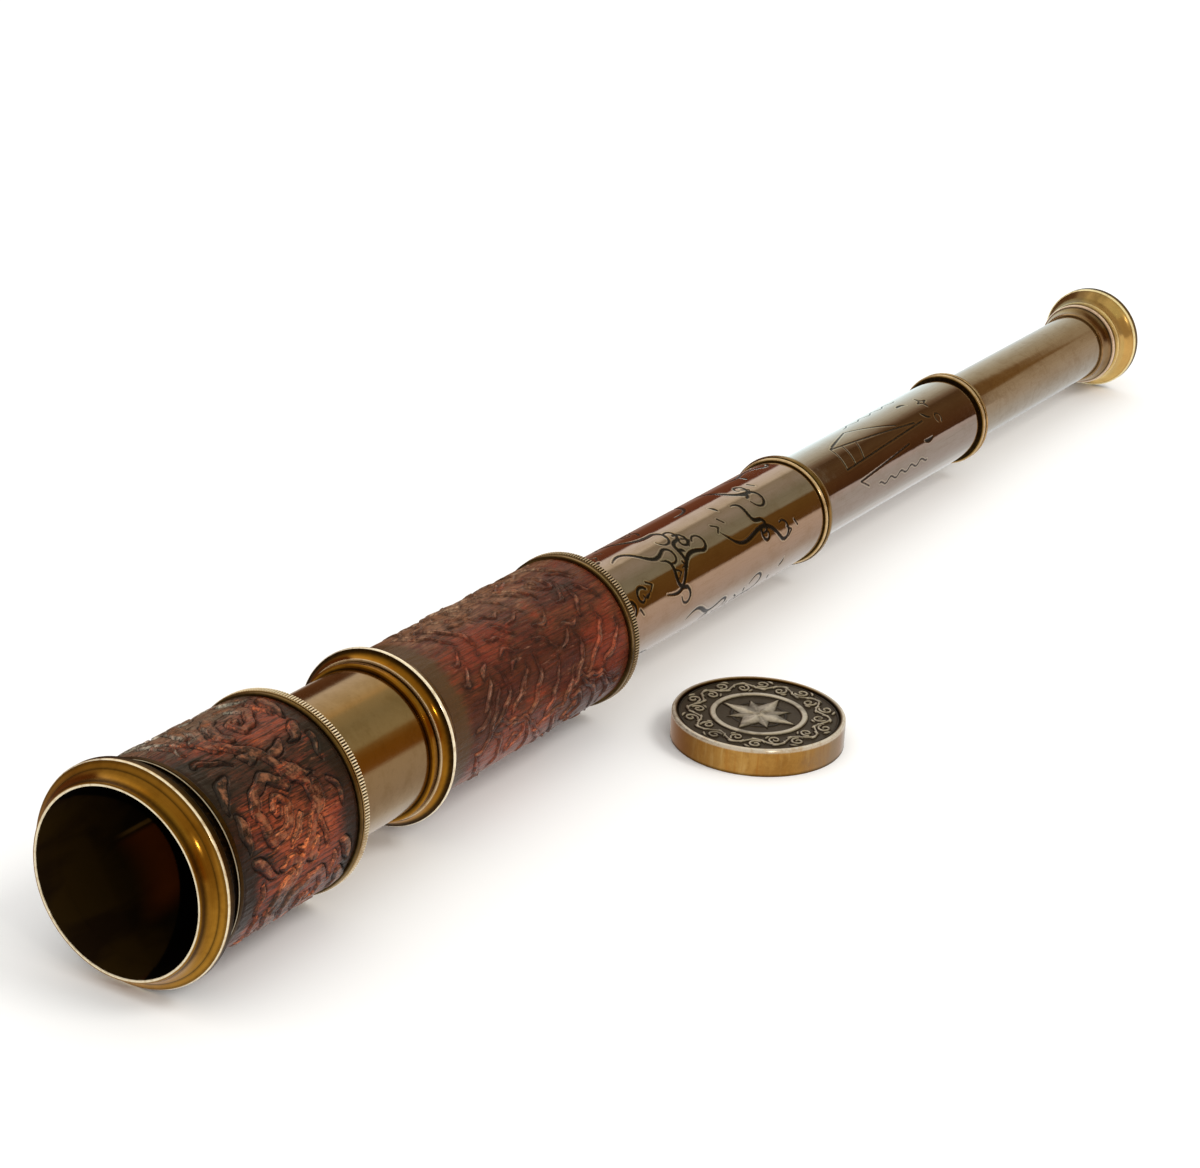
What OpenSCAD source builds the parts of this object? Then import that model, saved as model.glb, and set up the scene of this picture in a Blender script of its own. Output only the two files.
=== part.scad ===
// Hand-held four-section spyglass, drawn out to full length, with its loose push-in lens cap.
// Millimetres. The optical axis is the X axis. The origin is the centre of the mouth of the
// sunshade, and +X runs from the mouth to the eyepiece. Every turned piece is a profile of
// [radius, station along X], so a station is always measured from the mouth.

/* [Sunshade] */
// Radius of the mouth that the lens cap pushes into
mouth_r = 21; // [20.8:0.05:21.1]
// Largest radius of the flared front bezel
bezel_r = 25.2; // [24.6:0.1:26]
// Radius over the sunshade's leather
shade_leather_r = 22.7; // [22.5:0.05:22.9]
// Radius over the knurl of the sunshade's rear ring
shade_knurl_r = 23.6; // [23.5:0.05:24]
// Number of ridges in the sunshade's knurl
shade_knurl_n = 210; // [160:2:240]
// How far the sunshade pushes back over the barrel
shade_travel = 30; // [20:0.1:30]

/* [Barrel] */
// Outside radius of the main tube
barrel_r = 17.65; // [17.6:0.05:17.65]
// Wall of the main tube
barrel_wall = 0.75; // [0.7:0.05:0.75]
// Radius over the barrel's leather
leather_r = 18.4; // [18.2:0.05:18.7]
// Largest radius of the front flange
flange_r = 21.1; // [20.8:0.1:21.6]
// Radius over the knurl of the rear guide ring
guide_knurl_r = 19.3; // [19.2:0.05:19.6]
// Number of ridges in the guide ring's knurl
guide_knurl_n = 168; // [120:2:200]

/* [Draw tubes] */
// Outside radius of the first, widest draw tube
draw_1_r = 13.7; // [13.6:0.05:13.7]
// Outside radius of the second draw tube
draw_2_r = 11.8; // [11.7:0.05:11.8]
// Outside radius of the third draw tube, which carries the eyepiece
draw_3_r = 9.75; // [9.65:0.05:9.75]
// Wall of each draw tube
draw_wall = 0.7; // [0.6:0.05:0.7]
// Running clearance between a draw tube and the collar that guides it
slide_gap = 0.05; // [0.03:0.01:0.08]
// Radius of the collar on the first draw tube
collar_1_r = 14.9; // [14.6:0.1:15.4]
// Radius of the collar on the second draw tube
collar_2_r = 13.1; // [12.9:0.1:13.5]

/* [Eyepiece] */
// Radius of the eyecup's rim
eyecup_r = 15; // [14.6:0.1:16]
// Radius of the eye hole
eye_hole_r = 3.2; // [2:0.1:5]

/* [Lens cap] */
// Height of the lens cap
cap_h = 7; // [6:0.1:7]
// Station of the cap's centre along the tube, where it lies beside it
cap_x = 187.8; // [150:0.2:260]
// Distance from the optical axis to the cap's centre, sideways
cap_side = 45; // [44:0.5:90]

/* [Hidden] */
$fn = 96;
eps = 0.01;

// Stations along X, in order from the mouth
bezel_edge_x = 5.0;
bezel_land_end = 6.6;
bezel_seat_end = 7;
bezel_end = 13;
shade_tube_end = 52.9;
cell_front = 42.6;
cell_seat = 48.4;
cell_back = 50.8;
cell_hub_end = 54.4;
shade_web_front = 55;
shade_ring_end = 56.6;
tube_front = 49.8;
flange_front = 86.8;
flange_back = 95.6;
leather_end = 169.6;
guide_front = 162.6;
tube_back = 172;
guide_back = 174.5;
bush_1_front = 150.6;
collar_1_inner = 267;
collar_1_front = 275.1;
draw_1_back = 278;
collar_1_back = 279.2;
bush_2_front = 255;
collar_2_inner = 363;
collar_2_front = 371;
draw_2_back = 373.3;
collar_2_back = 374.5;
bush_3_front = 351;
erector_front = 345;
eyepiece_front = 457.4;
draw_3_back = 460.4;
eyecup_front = 464;
lens_seat = 466;
rim_front = 471;
rim_back = 472.9;
eyecup_back = 473.6;

shade_tube_in = 21.3;
shade_tube_out = 21.9;
cell_r = shade_tube_in - slide_gap;
barrel_in = barrel_r - barrel_wall;
draw_1_in = draw_1_r - draw_wall;
draw_2_in = draw_2_r - draw_wall;
draw_3_in = draw_3_r - draw_wall;
lens_r = 18.45;
cap_r = mouth_r - slide_gap;

// The tabletop that the whole thing lies on touches the bezel and the eyecup's rim
rest_slope = (bezel_r - eyecup_r) / (rim_back - bezel_land_end);
rest_tilt = atan(rest_slope);
function table_z(x) = -bezel_r + (x - bezel_land_end) * rest_slope;

// ---------------------------------------------------------------- shared shapes

// Turns a profile of [radius, station] round the optical axis
module turned() rotate([0, 90, 0]) rotate_extrude() children();

// Plain tube between two stations
module tube(r_in, r_out, x0, x1)
    turned() polygon([[r_in, x0], [r_out, x0], [r_out, x1], [r_in, x1]]);

// Centre and radius of the arc through p and q that sags by s to the left of p-to-q
function arc_radius(p, q, s) = (pow(norm(q - p), 2) / 4 + s * s) / (2 * s);
function arc_centre(p, q, s) =
    let (u = (q - p) / norm(q - p), n = [u[1], -u[0]])
    (p + q) / 2 + n * (arc_radius(p, q, s) - s);

// Disc that hollows a cove between two points of a profile
module cove(p, q, s) translate(arc_centre(p, q, s)) circle(r = arc_radius(p, q, s), $fn = 180);

// Straight knurl: a band of n ridges between two stations
module knurl(r_root, r_tip, r_in, n, x0, x1)
    translate([x0, 0, 0]) rotate([0, 90, 0]) difference() {
        linear_extrude(height = x1 - x0)
            polygon([for (i = [0 : 2 * n - 1])
                let (r = i % 2 == 0 ? r_tip : r_root, a = i * 180 / n) [r * cos(a), r * sin(a)]]);
        translate([0, 0, -1]) cylinder(r = r_in, h = x1 - x0 + 2);
    }

// Slider bush on the inner end of a draw tube, relieved in the middle so that it rides on two lands
module slider_bush(r_tube, r_bore, x0)
    turned() difference() {
        polygon([
            [r_tube, x0], [r_bore - 0.35, x0], [r_bore - slide_gap, x0 + 0.3],
            [r_bore - slide_gap, x0 + 3.2], [r_bore - 0.4, x0 + 3.6],
            [r_bore - 0.4, x0 + 8], [r_bore - slide_gap, x0 + 8.4],
            [r_bore - slide_gap, x0 + 11.6], [r_tube, x0 + 11.6]
        ]);
    }

// Lens of radius r between two edge stations, with a bulge of so much on each side (0 is flat, below 0 is hollow)
module lens(r, x0, x1, bulge_front, bulge_back) turned() polygon(concat(
    bulge_front == 0 ? [[r, x0], [0, x0]]
        : [for (i = [0 : 10]) let (u = 1 - i / 10) [r * u, x0 - bulge_front * (1 - u * u)]],
    bulge_back == 0 ? [[0, x1], [r, x1]]
        : [for (i = [0 : 10]) let (u = i / 10) [r * u, x1 + bulge_back * (1 - u * u)]]
));

// ---------------------------------------------------------------- barrel

module main_tube() color([0.56, 0.47, 0.31]) tube(barrel_in, barrel_r, tube_front, tube_back);

module barrel_leather() color([0.35, 0.13, 0.08])
    tube(barrel_r, leather_r, flange_back, leather_end);

// Flanged ring that ends the leather and stops the sunshade
module front_flange() color([0.6, 0.42, 0.13]) turned() difference() {
    polygon([
        [barrel_r, flange_front], [18.5, flange_front], [18.75, flange_front + 0.25],
        [18.75, 88.5], [18.45, 88.75], [18.45, 89.1], [19.15, 89.3],
        [flange_r, 91.4], [flange_r, 92.1], [flange_r - 0.5, 92.6],
        [19.25, 94.6], [19.05, flange_back], [barrel_r, flange_back]
    ]);
    cove([19.15, 89.3], [flange_r, 91.4], 0.35);
}

// Knurled ring at the back of the barrel, with the long bore that guides the first draw tube
module rear_guide_ring() color([0.55, 0.43, 0.2]) {
    turned() polygon([
        [draw_1_r + slide_gap, guide_front], [barrel_in, guide_front], [barrel_in, tube_back],
        [barrel_r, tube_back], [barrel_r, leather_end], [18.95, leather_end], [19.15, leather_end + 0.3],
        [19.15, 170.9], [18.75, 171.2], [18.75, 173.2], [18.95, 173.3], [18.5, 174.0],
        [17.3, guide_back], [draw_1_r + slide_gap, guide_back]
    ]);
    knurl(guide_knurl_r - 0.4, guide_knurl_r, 18.2, guide_knurl_n, 171.2, 173.2);
}

// Cup that holds the objective on the front of the main tube, and on which the sunshade slides
module objective_cell() color([0.16, 0.14, 0.11]) turned() polygon([
    [lens_r + 0.05, cell_front], [cell_r - 0.4, cell_front], [cell_r, cell_front + 0.4],
    [cell_r, cell_back - 0.4], [cell_r - 0.4, cell_back], [19.3, cell_back],
    [19.3, cell_hub_end], [barrel_r, cell_hub_end], [barrel_r, tube_front],
    [16.6, tube_front], [16.6, cell_seat], [lens_r + 0.05, cell_seat]
]);

module objective_retaining_ring() color([0.2, 0.17, 0.12]) turned() polygon([
    [17.1, cell_front + 0.2], [lens_r + 0.05, cell_front + 0.2], [lens_r + 0.05, cell_seat - 4.45],
    [lens_r - 0.25, cell_seat - 4.45], [17.5, cell_seat - 4.65]
]);

module objective_crown_lens() color([0.75, 0.85, 0.85, 0.4]) lens(lens_r, cell_seat - 4.4, cell_seat - 3, 1.1, 1.3);

module objective_flint_lens() color([0.8, 0.85, 0.8, 0.4]) lens(lens_r, cell_seat - 3, cell_seat, -1.3, 0);

// ---------------------------------------------------------------- sunshade

module shade_tube() color([0.5, 0.4, 0.22]) tube(shade_tube_in, shade_tube_out, bezel_seat_end, shade_tube_end);

module shade_leather() color([0.33, 0.12, 0.07])
    tube(shade_tube_out, shade_leather_r, bezel_end, shade_tube_end);

// Flared front ring: a lip round the mouth, a cove out to the edge, and a groove before the leather
module shade_bezel() color([0.62, 0.42, 0.12]) turned() difference() {
    polygon([
        [mouth_r, 0], [21.65, 0], [21.85, 0.2], [21.85, 1.2],
        [bezel_r, bezel_edge_x], [bezel_r, bezel_land_end], [bezel_r - 0.3, bezel_land_end + 0.3],
        [22.45, 7.1], [22.45, 10.9], [22.95, 10.9], [22.95, bezel_end],
        [shade_tube_out, bezel_end], [shade_tube_out, bezel_seat_end], [mouth_r, bezel_seat_end]
    ]);
    cove([21.85, 1.2], [bezel_r, bezel_edge_x], 0.7);
}

// Knurled ring whose web closes down on the main tube and stops the sunshade at the objective cell
module shade_rear_ring() color([0.55, 0.43, 0.2]) {
    turned() polygon([
        [20.5, cell_back + 0.3], [shade_tube_in, cell_back + 0.3], [shade_tube_in, shade_tube_end], [23.0, shade_tube_end],
        [23.3, shade_tube_end + 0.2], [23.3, 53.8], [23.0, 54.1], [23.0, 56.0], [23.15, 56.1],
        [22.6, shade_ring_end], [barrel_r + slide_gap, shade_ring_end],
        [barrel_r + slide_gap, shade_web_front], [20.5, shade_web_front]
    ]);
    knurl(shade_knurl_r - 0.4, shade_knurl_r, 22.2, shade_knurl_n, 54.1, 56.0);
}

// ---------------------------------------------------------------- draw tubes

module draw_1_tube() color([0.5, 0.43, 0.34]) tube(draw_1_in, draw_1_r, bush_1_front, draw_1_back);
module draw_1_bush() color([0.5, 0.4, 0.22]) slider_bush(draw_1_r, barrel_in, bush_1_front);

// Collar on the back of the first draw tube, which guides the second
module draw_1_collar() color([0.6, 0.44, 0.16]) turned() polygon([
    [draw_2_r + slide_gap, collar_1_inner], [draw_1_in, collar_1_inner], [draw_1_in, draw_1_back],
    [draw_1_r, draw_1_back], [draw_1_r, collar_1_front], [14.3, collar_1_front],
    [collar_1_r - 0.15, 275.7], [collar_1_r, 276.4], [collar_1_r, 277.5], [14.6, 278.3],
    [13.9, 278.9], [13.3, collar_1_back], [draw_2_r + slide_gap, collar_1_back]
]);

module draw_2_tube() color([0.42, 0.36, 0.3]) tube(draw_2_in, draw_2_r, bush_2_front, draw_2_back);
module draw_2_bush() color([0.5, 0.4, 0.22]) slider_bush(draw_2_r, draw_1_in, bush_2_front);

// Collar on the back of the second draw tube, turned with two beads
module draw_2_collar() color([0.6, 0.44, 0.16]) turned() polygon([
    [draw_3_r + slide_gap, collar_2_inner], [draw_2_in, collar_2_inner], [draw_2_in, draw_2_back],
    [draw_2_r, draw_2_back], [draw_2_r, collar_2_front], [12.6, collar_2_front],
    [collar_2_r - 0.1, 371.3], [collar_2_r, 371.7], [collar_2_r - 0.05, 372.2], [12.72, 372.55],
    [12.72, 372.8], [collar_2_r - 0.1, 373.1], [collar_2_r - 0.05, 373.7], [12.75, 374.15],
    [12.2, collar_2_back], [draw_3_r + slide_gap, collar_2_back]
]);

module draw_3_tube() color([0.52, 0.46, 0.34]) tube(draw_3_in, draw_3_r, bush_3_front, draw_3_back);
module draw_3_bush() color([0.5, 0.4, 0.22]) slider_bush(draw_3_r, draw_2_in, bush_3_front);

// ---------------------------------------------------------------- erector, in the front of the third draw tube

module erector_cartridge() color([0.2, 0.17, 0.12]) turned() polygon([
    [8.2, erector_front + 0.6], [7.3, erector_front + 0.6], [7.3, erector_front], [draw_3_in, erector_front],
    [draw_3_in, erector_front + 26], [8.2, erector_front + 26]
]);
module erector_front_lens() color([0.8, 0.85, 0.85, 0.4]) lens(8.2, erector_front + 0.6, erector_front + 2.2, 0, 1.1);
module erector_stop() color([0.1, 0.1, 0.1]) tube(2.5, 8.2, erector_front + 12, erector_front + 13);
module erector_rear_lens() color([0.8, 0.85, 0.85, 0.4]) lens(8.2, erector_front + 23.6, erector_front + 25.2, 1.1, 0);

// ---------------------------------------------------------------- eyepiece

module eyepiece_cell() color([0.2, 0.17, 0.12]) tube(8.3, draw_3_in, lens_seat - 27, lens_seat);
module field_lens() color([0.8, 0.85, 0.85, 0.4]) lens(8.3, lens_seat - 24.8, lens_seat - 23.2, 1.3, 0);
module field_stop() color([0.1, 0.1, 0.1]) tube(5, 8.3, lens_seat - 16, lens_seat - 15);
module eye_lens() color([0.8, 0.85, 0.85, 0.4]) lens(8.3, lens_seat - 2.2, lens_seat - 0.4, 1.5, 0);

// Ring between the third draw tube and the eyecup: a cove that opens out to a bead
module eyepiece_collar() color([0.45, 0.3, 0.12]) turned() difference() {
    polygon([
        [draw_3_r, eyepiece_front], [10.2, eyepiece_front], [10.45, eyepiece_front + 0.25],
        [11.5, 461.3], [11.35, 461.6], [11.9, 461.8], [12.1, 462.2],
        [12.1, 462.8], [11.85, 463.2], [11.2, 463.45], [11.2, eyecup_front], [draw_3_in, eyecup_front],
        [draw_3_in, draw_3_back], [draw_3_r, draw_3_back]
    ]);
    cove([10.45, eyepiece_front + 0.25], [11.5, 461.3], 0.3);
}

// Flared eyecup with a bead at its neck, a dished back and the eye hole
module eyecup() color([0.66, 0.5, 0.2]) turned() difference() {
    polygon([
        [draw_3_in, eyecup_front], [11.5, eyecup_front], [12.2, 464.3], [12.4, 464.8],
        [12.4, 465.4], [12.1, 465.8], [11.9, 466.1],
        [eyecup_r - 0.4, 470.6], [eyecup_r, rim_front], [eyecup_r, rim_back],
        [eyecup_r - 0.35, 473.4], [eyecup_r - 0.9, eyecup_back], [11.9, eyecup_back],
        [eye_hole_r, 470.2], [eye_hole_r, lens_seat + 0.9], [8.3, lens_seat + 0.9], [8.3, lens_seat], [draw_3_in, lens_seat]
    ]);
    cove([11.9, 466.1], [eyecup_r - 0.4, 470.6], 0.7);
    translate([0, 484.4]) circle(r = 14.8, $fn = 180);
}

// ---------------------------------------------------------------- lens cap, lying on the tabletop

module on_table() translate([cap_x, -cap_side, table_z(cap_x)]) rotate([0, -rest_tilt, 0]) children();

// Shallow cup that pushes into the mouth, with a rounded rim round its sunk face
module cap_shell() color([0.6, 0.42, 0.18]) on_table() rotate_extrude() polygon([
    [cap_r - 0.9, 0], [cap_r, 0], [cap_r, cap_h - 0.55], [cap_r - 0.2, cap_h - 0.2],
    [cap_r - 0.6, cap_h], [20.1, cap_h], [19.75, cap_h - 0.3], [19.7, cap_h - 1.0],
    [0, cap_h - 1.0], [0, cap_h - 1.9], [cap_r - 0.9, cap_h - 1.9]
]);

// Struck disc in the cap's face: a raised ring, an eight-point rose inside it and a round of studs outside it
module cap_medallion() color([0.3, 0.27, 0.22]) on_table() translate([0, 0, cap_h - 1.0]) {
    cylinder(r = 19.65, h = 0.4);
    translate([0, 0, 0.4 - eps]) {
        difference() {
            cylinder(r = 12, h = 0.4);
            translate([0, 0, -1]) cylinder(r = 10.2, h = 3);
        }
        linear_extrude(height = 0.35) polygon([for (i = [0 : 15])
            let (r = i % 4 == 0 ? 9 : i % 2 == 0 ? 6 : 2.4, a = i * 22.5) [r * cos(a), r * sin(a)]]);
        for (i = [0 : 23]) rotate(i * 15) translate([15.7, 0, 0]) cylinder(r = 1.3, h = 0.3, $fn = 24);
    }
}

main_tube();
barrel_leather();
front_flange();
rear_guide_ring();
objective_cell();
objective_retaining_ring();
objective_crown_lens();
objective_flint_lens();
shade_tube();
shade_leather();
shade_bezel();
shade_rear_ring();
draw_1_tube();
draw_1_bush();
draw_1_collar();
draw_2_tube();
draw_2_bush();
draw_2_collar();
draw_3_tube();
draw_3_bush();
erector_cartridge();
erector_front_lens();
erector_stop();
erector_rear_lens();
eyepiece_cell();
field_lens();
field_stop();
eye_lens();
eyepiece_collar();
eyecup();
cap_shell();
cap_medallion();
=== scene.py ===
import math
import bpy
import numpy as np
from mathutils import Euler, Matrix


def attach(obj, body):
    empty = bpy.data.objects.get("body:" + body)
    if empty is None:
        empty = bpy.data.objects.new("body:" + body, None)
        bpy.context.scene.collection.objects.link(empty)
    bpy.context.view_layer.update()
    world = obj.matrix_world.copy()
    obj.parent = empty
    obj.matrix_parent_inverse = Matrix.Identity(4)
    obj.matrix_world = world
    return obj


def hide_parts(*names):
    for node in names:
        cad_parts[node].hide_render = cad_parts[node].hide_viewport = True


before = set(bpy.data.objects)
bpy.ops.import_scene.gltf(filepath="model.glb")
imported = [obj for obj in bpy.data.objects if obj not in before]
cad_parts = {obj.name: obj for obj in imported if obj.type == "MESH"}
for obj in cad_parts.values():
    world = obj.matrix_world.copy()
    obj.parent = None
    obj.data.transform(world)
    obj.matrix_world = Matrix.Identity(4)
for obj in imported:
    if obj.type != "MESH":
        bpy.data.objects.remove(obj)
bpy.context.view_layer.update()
MM = 0.001
TAU = 2 * math.pi

# ---------------------------------------------------------------- meshes


def mesh_object(name, verts, quads, tris=(), floats=None):
    """verts in millimetres, quads and tris as index arrays, floats = {name: value for each vertex}."""
    verts = np.asarray(verts, float) * MM
    quads = np.asarray(quads, np.int64).reshape(-1, 4)
    tris = np.asarray(tris, np.int64).reshape(-1, 3)
    me = bpy.data.meshes.new(name)
    me.vertices.add(len(verts))
    me.vertices.foreach_set("co", verts.ravel())
    nl = quads.size + tris.size
    me.loops.add(nl)
    me.loops.foreach_set("vertex_index", np.concatenate([quads.ravel(), tris.ravel()]).astype(np.int32))
    starts = np.concatenate([np.arange(len(quads)) * 4, quads.size + np.arange(len(tris)) * 3]).astype(np.int32)
    me.polygons.add(len(starts))
    me.polygons.foreach_set("loop_start", starts)
    me.polygons.foreach_set("use_smooth", np.ones(len(starts), bool))
    me.update(calc_edges=True)
    me.validate()
    for key, values in (floats or {}).items():
        a = me.attributes.new(key, "FLOAT", "POINT")
        a.data.foreach_set("value", np.asarray(values, np.float32).ravel())
    ob = bpy.data.objects.new(name, me)
    bpy.context.scene.collection.objects.link(ob)
    return ob


def arc(p, q, sag, n=10):
    """Points of the arc from p to q ([radius, station]) that sags by sag to the left of p-to-q; the ends left out."""
    p, q = np.array(p, float), np.array(q, float)
    c = np.linalg.norm(q - p)
    u = (q - p) / c
    v = np.array([u[1], -u[0]])
    big = (c * c / 4 + sag * sag) / (2 * sag)
    mid = (p + q) / 2 + v * (abs(big) - abs(sag)) * np.sign(sag)
    a0 = math.atan2(*(p - mid)[::-1])
    a1 = math.atan2(*(q - mid)[::-1])
    d = (a1 - a0 + math.pi) % TAU - math.pi
    return [tuple(mid + abs(big) * np.array([math.cos(a0 + d * i / n), math.sin(a0 + d * i / n)])) for i in range(1, n)]


def P(r, x, f=None, d=0.0, k=0.0, w=0.0):
    """A profile point: radius, station, fillet radius, soiling and painted shade 0..1, depth of knurl, wear and painted
    highlight 0..1.
    """
    return (r, x, f, d, k, w)


def smooth_profile(points, fillet=0.08, support=0.05):
    """Rounds the corners of a closed profile and adds points beside them that keep flats flat."""
    pts = [(*p, None, 0.0, 0.0, 0.0)[:6] if len(p) == 2 else p for p in points]
    n = len(pts)
    out = []
    for i, (r, x, f, d, k, w) in enumerate(pts):
        c = np.array([r, x])
        a = np.array(pts[i - 1][:2]) - c
        b = np.array(pts[(i + 1) % n][:2]) - c
        la, lb = np.linalg.norm(a), np.linalg.norm(b)
        if la < 1e-9 or lb < 1e-9:
            continue
        a, b = a / la, b / lb
        turn = math.pi - math.acos(max(-1, min(1, float(a @ b))))
        if turn < math.radians(14):
            out.append((r, x, d, k, w))
            continue
        f = fillet if f is None else f
        t = min(f * math.tan(turn / 2), 0.42 * la, 0.42 * lb)
        s = min(support, 0.3 * (la / 2 - t), 0.3 * (lb / 2 - t)) if min(la, lb) / 2 > t else 0
        if s > 0.004 and la > 0.25:
            out.append((*(c + a * (t + s)), d, k, w))
        steps = max(2, int(math.ceil(turn / math.radians(26))))
        p0, p1 = c + a * t, c + b * t
        for j in range(steps + 1):
            v = j / steps
            # quadratic blend through the corner, close to an arc at these small sizes
            q = (1 - v) ** 2 * p0 + 2 * v * (1 - v) * c + v * v * p1
            out.append((*q, d, k, w))
        if s > 0.004 and lb > 0.25:
            out.append((*(c + b * (t + s)), d, k, w))
    return np.array(out)


def lathe(name, points, n=300, teeth=0, fillet=0.08, phase=0.0, raw=False, shift=None):
    """Turns a closed profile of [radius, station] round the X axis."""
    prof = np.asarray(points, float) if raw else smooth_profile(points, fillet)
    if teeth:
        n = teeth * 6
    area = np.sum(prof[:, 1] * np.roll(prof[:, 0], -1) - np.roll(prof[:, 1], -1) * prof[:, 0])
    if area < 0:
        prof = prof[::-1]
    m = len(prof)
    th = np.arange(n) / n * TAU + phase
    r = np.repeat(prof[:, 0][:, None], n, 1)
    grime_and_shade = np.repeat(prof[:, 2][:, None], n, 1)
    wear_and_highlight = np.repeat(prof[:, 4][:, None], n, 1)
    if teeth:
        t = (np.arange(n) % 6) / 6.0
        tip = np.clip(1.45 * (0.5 + 0.5 * np.cos(TAU * t)) - 0.2, 0, 1)[None, :]
        # In the knurl the valleys get soiling and painted shade, and the tips get wear and painted highlight.
        cut = (prof[:, 3] > 0.15)[:, None]
        r = r - prof[:, 3][:, None] * (1 - tip)
        grime_and_shade = np.where(cut, np.clip(grime_and_shade + 1.1 * (1 - tip) - 0.15, 0, 1), grime_and_shade)
        wear_and_highlight = np.where(cut, np.clip(1.6 * tip - 0.6, 0, 1), wear_and_highlight)
    if shift is not None:
        r = r + shift
    v = np.stack([np.repeat(prof[:, 1][:, None], n, 1), r * np.cos(th), r * np.sin(th)], -1).reshape(-1, 3)
    i = np.arange(m)[:, None]
    j = np.arange(n)[None, :]
    i2, j2 = (i + 1) % m, (j + 1) % n
    a, b, c, d = i * n + j, i * n + j2, i2 * n + j2, i2 * n + j
    quads = np.stack([a, b, c, d], -1).reshape(-1, 4)
    return mesh_object(name, v, quads, floats={"grime_and_shade": grime_and_shade, "wear_and_highlight": wear_and_highlight})


# ---------------------------------------------------------------- line work on a sleeve
# A stroke is rows of (s, x, half width): s runs round the sleeve in millimetres, x along the axis.


def stroke(points, w0, w1=None, belly=0.0):
    """Gives a polyline its half width, from w0 to w1, with so much belly in the middle."""
    pts = np.asarray(points, float)
    t = np.linspace(0, 1, len(pts))
    w = w0 + ((w0 if w1 is None else w1) - w0) * t + belly * np.sin(math.pi * t ** 0.8)
    return np.column_stack([pts, w])


def wander(strokes, amount, seed):
    """Lets the strokes stray a little, as work done by hand does."""
    ph = np.random.default_rng(seed).uniform(0, TAU, 4)
    out = []
    for line in strokes:
        q = line.copy()
        q[:, 0] += amount * (np.sin(line[:, 1] * 0.55 + ph[0]) + 0.5 * np.sin(line[:, 1] * 1.3 + line[:, 0] * 0.4 + ph[1]))
        q[:, 1] += amount * (np.sin(line[:, 0] * 0.47 + ph[2]) + 0.5 * np.sin(line[:, 0] * 1.1 - line[:, 1] * 0.5 + ph[3]))
        out.append(q)
    return out


def line_field(lines, s, x, reach):
    """Distance from each grid point to the edge of the nearest stroke, below 0 inside it, clipped at reach."""
    out = np.full((len(x), len(s)), reach, float)
    ds, dx = s[1] - s[0], x[1] - x[0]
    for line in lines:
        for p, q in zip(line[:-1], line[1:]):
            far = reach + max(p[2], q[2])
            lo, hi = np.minimum(p[:2], q[:2]) - far, np.maximum(p[:2], q[:2]) + far
            i0, i1 = int(math.floor((lo[0] - s[0]) / ds)), int(math.ceil((hi[0] - s[0]) / ds))
            k0, k1 = max(0, int((lo[1] - x[0]) / dx)), min(len(x) - 1, int(math.ceil((hi[1] - x[0]) / dx)))
            if k1 < k0:
                continue
            ii = np.arange(i0, i1 + 1)
            gs = (s[0] + ii * ds)[None, :] - p[0]
            gx = x[k0:k1 + 1][:, None] - p[1]
            es, ex = q[0] - p[0], q[1] - p[1]
            size2 = es * es + ex * ex
            t = np.clip((gs * es + gx * ex) / size2, 0, 1) if size2 > 1e-12 else np.zeros((k1 - k0 + 1, len(ii)))
            dd = np.hypot(gs - t * es, gx - t * ex) - (p[2] + (q[2] - p[2]) * t)
            cols = ii % len(s)
            rows = out[k0:k1 + 1]
            rows[:, cols] = np.minimum(rows[:, cols], dd)
    return out


def spiral(cs, cx, r0, r1, a0, turns, hand=1, n=40):
    """A volute round (cs, cx) from radius r0 in to r1, starting at the angle a0 in degrees."""
    pts = []
    for i in range(n + 1):
        w = i / n
        r = r0 + (r1 - r0) * w ** 0.85
        a = math.radians(a0) + hand * turns * TAU * w
        pts.append((cs + r * math.cos(a), cx + r * math.sin(a)))
    return pts


def leaf(s, x, angle, length, width, n=10, bend=0.0):
    """Outline of a pointed leaf from its root at (s, x), with its midrib."""
    a = math.radians(angle)
    u, v = (math.cos(a), math.sin(a)), (-math.sin(a), math.cos(a))

    def at(t, w):
        c = bend * math.sin(math.pi * t)
        return (s + u[0] * length * t + v[0] * (w + c), x + u[1] * length * t + v[1] * (w + c))

    side = [at(i / n, width / 2 * math.sin(math.pi * (i / n) ** 0.8)) for i in range(n + 1)]
    back = [at(i / n, -width / 2 * math.sin(math.pi * (i / n) ** 0.8)) for i in range(n, -1, -1)]
    return [side + back, [at(0.15, 0), at(0.8, 0)]]


def wave(s0, s1, x, height, length, n=60, phase=0.0, slope=0.0):
    return [(s0 + (s1 - s0) * i / n, x + slope * (s1 - s0) * i / n
             + height * math.sin(TAU * (s0 + (s1 - s0) * i / n) / length + phase)) for i in range(n + 1)]


def wave_x(x0, x1, s, height, length, n=60, phase=0.0):
    return [(b, a) for a, b in wave(x0, x1, s, height, length, n, phase)]


def star(s, x, r, points=4, inner=0.3, turn=0.0):
    out = []
    for i in range(2 * points + 1):
        rr = r if i % 2 == 0 else r * inner
        a = math.radians(turn) + math.pi * i / points
        out.append((s + rr * math.cos(a), x + rr * math.sin(a)))
    return out


def circle_line(s, x, r, n=24, a0=0, a1=360):
    return [(s + r * math.cos(math.radians(a0 + (a1 - a0) * i / n)), x + r * math.sin(math.radians(a0 + (a1 - a0) * i / n)))
            for i in range(n + 1)]


def comma(s, x, angle, length, bend=0.0, root=0.25, belly=0.8, n=12):
    """A frond: one curved stroke that swells in the middle and ends in a point."""
    pts = []
    a, u, v = math.radians(angle), s, x
    for i in range(n + 1):
        pts.append((u, v))
        a += math.radians(bend) / n
        u += length / n * math.cos(a)
        v += length / n * math.sin(a)
    return stroke(pts, root, 0.05, belly)


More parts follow.
